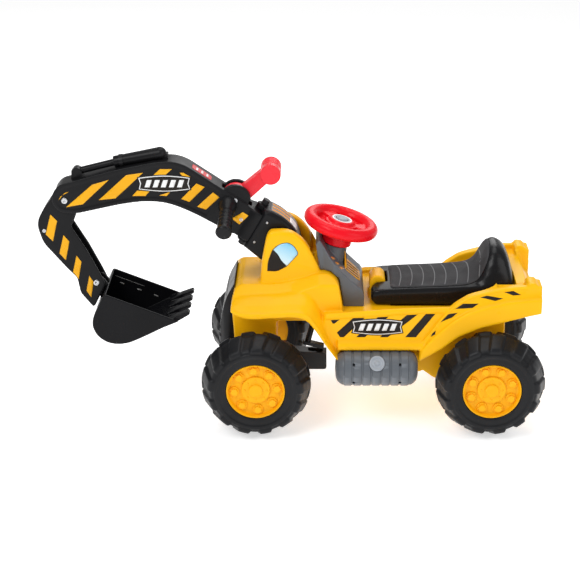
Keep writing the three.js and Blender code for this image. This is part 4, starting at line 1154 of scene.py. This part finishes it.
def side_grip(name, side):
    """A tapered handle, with a flared collar against the boom, four rings and a round end."""
    boom_face = BOOM_HALF + 0.3
    root = Vector((-102, side * boom_face, 358))
    out = Vector((-0.04, side * 0.96, -0.27)).normalized()
    profile = [(0, -6), (15, -6), (15, 3), (13.4, 10), (11.2, 16)]
    for i in range(4):
        start = 22 + 10 * i
        profile += [(10.6, start), (11.6, start + 2), (11.6, start + 6), (10.6, start + 8)]
    profile += [(11.2, 66), (12.9, 70), (13, 73), (11, 76), (0, 76.6)]
    body = lathe(f"grip_moulding_{name}", profile, facing(root, out), 48)
    outside = box("outside", -170, -60, *across(side, boom_face, BEYOND), 280, 420)
    return ease(combine(body, [outside], "INTERSECT"), 0.5, 2)


for side, label in SIDES:
    finish_piece(side_grip(label, side), "boom", f"side_grip_{label}")

# ---------- stick ----------
STICK_HALF = 16
BUCKET_AT = side_point("bucket_turn")
STICK_SIDE = [(-350, 380, 10), (-375, 381, 12), (-398, 352, 16), (-412, 326, 14), (-403, 292, 10),
              (-366, 246, 8), (-352, 231, 5), (-348, 204, 5), (-329, 179, 3), (-325, 182), (-306, 219, 5),
              (-312, 234, 8), (-334, 281), (-356, 320), (-344, 350, 10)]
STICK_INSIDE = [(-300, 400), (-392, 400), (-386, 352), (-404, 326), (-398, 295), (-361, 248), (-346, 233),
                (-342, 208), (-329, 186), (-329, 160), (-280, 160), (-280, 300)]


def stick():
    """The outer arm: a channel open to the rear, with two webs that hold the link pin."""
    inner = STICK_HALF - 3.5
    link = (STICK_AT[0], STICK_AT[1] - LINK_CRANK)
    body = prism("stick_moulding", STICK_SIDE, -STICK_HALF, STICK_HALF, steps=8)
    combine(body, [prism("inside", STICK_INSIDE, -inner, inner)], "DIFFERENCE")
    front, rear = link[0] - 9, link[0] + 9
    low, high = link[1] - 9, link[1] + 24
    web = [(front, low, 4), (rear, low, 4), (rear, high), (front, high)]
    combine(body, [prism("web", web, *across(side, 4.2, inner + 1)) for side in (-1, 1)])
    cuts = [pin_bore(STICK_AT), pin_bore(BUCKET_AT), pin_bore(link, LINK_BORE)]
    return mould(combine(body, cuts, "DIFFERENCE"), voxel=1.1, passes=3)


stick_piece = finish_piece(stick(), "boom", "stick")
stick_skin = skin_of(stick_piece)
stick_flashes = []
for i in range(4):
    x = -388 + 18.7 * i
    z = 341 - 35.5 * i
    tall = 46 - 2.5 * i
    wide = 10 - 1.3 * i
    stick_flashes.append([(x, z), (x + wide, z - 11), (x + 1, z - tall), (x - wide, z - tall + 12)])
TURRET_SCREWS = ((-39, 332), (-60, 299))
for side, label in SIDES:
    stickers(f"stick_flash_{label}", stick_flashes, "sticker_yellow", from_side(side), stick_skin, "stick")
    screw(f"stick_screw_{label}_1", (-400, side * STICK_HALF, 313), side, "stick")
    screw(f"stick_screw_{label}_2", (BUCKET_AT[0], side * STICK_HALF, BUCKET_AT[1]), side, "stick", 5)
    screw(f"boom_screw_{label}_1", (STICK_AT[0], side * BOOM_HALF, STICK_AT[1]), side, "boom", 5)
    screw(f"boom_screw_{label}_2", (-81, side * BOOM_HALF, 334), side, "boom")
    for number, (x, z) in enumerate(TURRET_SCREWS, 1):
        hit = turret_skin.ray_cast(Vector((x, side * 300, z)) * MM, Vector((0, -side, 0)))[0]
        screw(f"turret_screw_{label}_{number}", (x, hit.y / MM, z), side, "turret", 2)

# ---------- bucket ----------
BUCKET_HALF = 58
BUCKET_SKIN = 3
BUCKET_SIDE = [(-303, 219, 4), (-323, 180, 12), (-326, 164, 10), (-319, 145, 12), (-300, 131, 14),
               (-272, 130, 14), (-243, 143, 14), (-210, 160, 10), (-184, 171)]
BUCKET_HOLLOW = [(-293, 232), (-319.5, 180, 12), (-322.5, 164, 10), (-316, 148, 12), (-299, 134.8, 14),
                 (-272, 134, 14), (-245, 146.5, 14), (-211, 164, 10), (-170, 176), (-170, 232)]


def bucket():
    """An open scoop with two ears for its pin, four teeth and three ribs along its floor."""
    inner = BUCKET_HALF - BUCKET_SKIN
    body = prism("bucket_moulding", BUCKET_SIDE, -BUCKET_HALF, BUCKET_HALF, steps=8)
    combine(body, [prism("hollow", BUCKET_HOLLOW, -inner, inner, steps=8)], "DIFFERENCE")
    ear = [(-302, 217), (-312, 231, 6), (-322, 232, 6), (-331, 224, 6), (-330, 213, 6), (-316, 195)]
    adds = [prism("ear", ear, -12, -6), prism("ear", ear, 6, 12)]
    tooth = [(-206, 162), (-208, 169), (-187, 179), (-168, 186, 2), (-166, 181, 2), (-184, 170)]
    adds += [prism("tooth", tooth, y - 7, y + 7) for y in (-45, -15, 15, 45)]
    rib = [(-296, 133), (-296, 137), (-246, 149), (-246, 144)]
    adds += [prism("rib", rib, y - 2, y + 2) for y in (-30, 0, 30)]
    adds.append(prism("ledge", [(-320, 176), (-323, 170), (-317.5, 172), (-316, 178)], -inner, inner))
    combine(body, adds)
    return mould(combine(body, [pin_bore(BUCKET_AT)], "DIFFERENCE"), voxel=1.2, passes=2)


bucket_skin = skin_of(finish_piece(bucket(), "bucket", "bucket"))
slot_starts = ((-293, 192), (-264, 180), (-236, 169))
slots = [[(x, z), (x + 7, z - 3), (x + 7, z - 0.6), (x, z + 2.4)] for x, z in slot_starts]
# A thin grey strip inside the bucket just below its rim: a painted highlight along the rim.
crease = [[(-300, 206), (-252, 186.5), (-252, 185.8), (-300, 205.2)]]
for side, label in ((-1, "right"), (1, "left")):
    inside = from_side(side, 0)              # from the middle, so it reaches the wall on the other side
    stickers(f"bucket_slot_{label}", slots, "sticker_grey", inside, bucket_skin, "bucket")
    stickers(f"bucket_crease_{label}", crease, "sticker_grey", inside, bucket_skin, "bucket", lift=0.15)

# ---------- cab window print and fender flashes ----------
WINDOW = [(-39, 258), (-38, 274, 8), (-30, 295, 8), (-19, 304, 8), (-5, 307, 10), (5, 300, 8), (12, 287, 5),
          (-7, 266, 3), (-24, 257, 6)]
WINDOW_SHADE = [(-39, 258), (-38, 274, 8), (-30, 295, 2), (-22, 287, 4), (-16, 275, 4), (-7, 266, 2),
                (-24, 257, 6)]
FENDER_FLASHES = [[(223, 163), (226, 169), (231, 174), (230, 168)],
                  [(238, 188), (250, 202), (265, 205), (256, 197)],
                  [(261, 211), (273, 220), (298, 221), (288, 214)],
                  [(300, 231), (310, 234), (336, 230), (324, 226)],
                  [(338, 240), (352, 242), (364, 236), (352, 235)]]
for side, label in SIDES:
    view = from_side(side)
    on_body = (view, shell_skin, "body_shell")
    stickers(f"window_rim_{label}", [WINDOW], "sticker_black", *on_body)
    stickers(f"window_{label}", [inset(rounded(WINDOW, 6), 0.8)], "window", *on_body, lift=0.5)
    stickers(f"window_shade_{label}", [WINDOW_SHADE], "sticker_black", *on_body, lift=0.7)
    stickers(f"fender_flash_{label}", FENDER_FLASHES, "sticker_black", *on_body)

# ---------- camera, lights and floor ----------
scene = bpy.context.scene
scene.view_settings.view_transform = "Standard"

CAMERA_TARGET = Vector((46, 0, 202.3))
CAMERA_DISTANCE = 2401.2
CAMERA_ELEVATION = math.radians(23)
LIGHT_TARGET = Vector((0, 0, 0.2))
FLOOR_HALF = 30                  # metres, and so are the lights' numbers
FLOOR_DROP = 0.0005

camera_data = bpy.data.cameras.new("camera")
camera_data.lens = 90
camera_data.sensor_width = 36
camera_data.shift_x = -0.052
camera = bpy.data.objects.new("camera", camera_data)
scene.collection.objects.link(camera)
away = Vector((0, -math.cos(CAMERA_ELEVATION), math.sin(CAMERA_ELEVATION)))
camera.location = (CAMERA_TARGET + away * CAMERA_DISTANCE) * MM
camera.rotation_euler = (-away).to_track_quat("-Z", "Y").to_euler()
scene.camera = camera


def area_light(name, location, size, power):
    """A round white lamp, in metres, that shines on the toy's middle."""
    data = bpy.data.lights.new(name, "AREA")
    data.shape = "DISK"
    data.size = size
    data.energy = power
    light = bpy.data.objects.new(name, data)
    scene.collection.objects.link(light)
    light.location = location
    light.rotation_euler = (LIGHT_TARGET - Vector(location)).to_track_quat("-Z", "Y").to_euler()


area_light("key", (-1.2, -1.6, 2.2), 1.4, 30)
area_light("fill", (1.8, -1.2, 1.3), 1.6, 11)
area_light("top", (0.1, 0.3, 2.4), 1.8, 20)
area_light("back", (0.4, 2.0, 1.5), 1.6, 12)

world = bpy.data.worlds.new("studio")
world.use_nodes = True
backdrop = world.node_tree.nodes["Background"].inputs
backdrop["Color"].default_value = (1, 1, 1, 1)
backdrop["Strength"].default_value = 0.38
scene.world = world

floor_mesh = bpy.data.meshes.new("floor")
corners = ((-1, -1), (1, -1), (1, 1), (-1, 1))
floor_corners = [(FLOOR_HALF * x, FLOOR_HALF * y, -FLOOR_DROP) for x, y in corners]
floor_mesh.from_pydata(floor_corners, [], [(0, 1, 2, 3)])
floor = bpy.data.objects.new("floor", floor_mesh)
scene.collection.objects.link(floor)
floor_look = bpy.data.materials.new("floor")
floor_look.use_nodes = True
floor_shader = floor_look.node_tree.nodes["Principled BSDF"].inputs
floor_shader["Base Color"].default_value = (0.93, 0.93, 0.93, 1)
floor_shader["Roughness"].default_value = 0.8
floor_shader["Emission Color"].default_value = (1, 1, 1, 1)
floor_shader["Emission Strength"].default_value = 0.55
floor_mesh.materials.append(floor_look)

# ---------- CAD nodes that stay as they are, with a look ----------
# The steering rod's slot painted_steel takes the black gloss look. This is painted shade: the steel rod is
# darkened to match the shade under the bonnet where it sits.
SLOT_LOOKS = {"yellow_plastic": "yellow", "tyre_plastic": "tyre", "black_plastic": "boom",
              "grey_plastic": "grey", "pale_grey_plastic": "pale", "red_plastic": "red", "steel": "steel",
              "painted_steel": "gloss"}
for node, obj in frame["nodes"].items():
    obj.data.materials.clear()
    obj.data.materials.append(MATERIALS[SLOT_LOOKS[SLOTS[node]]])
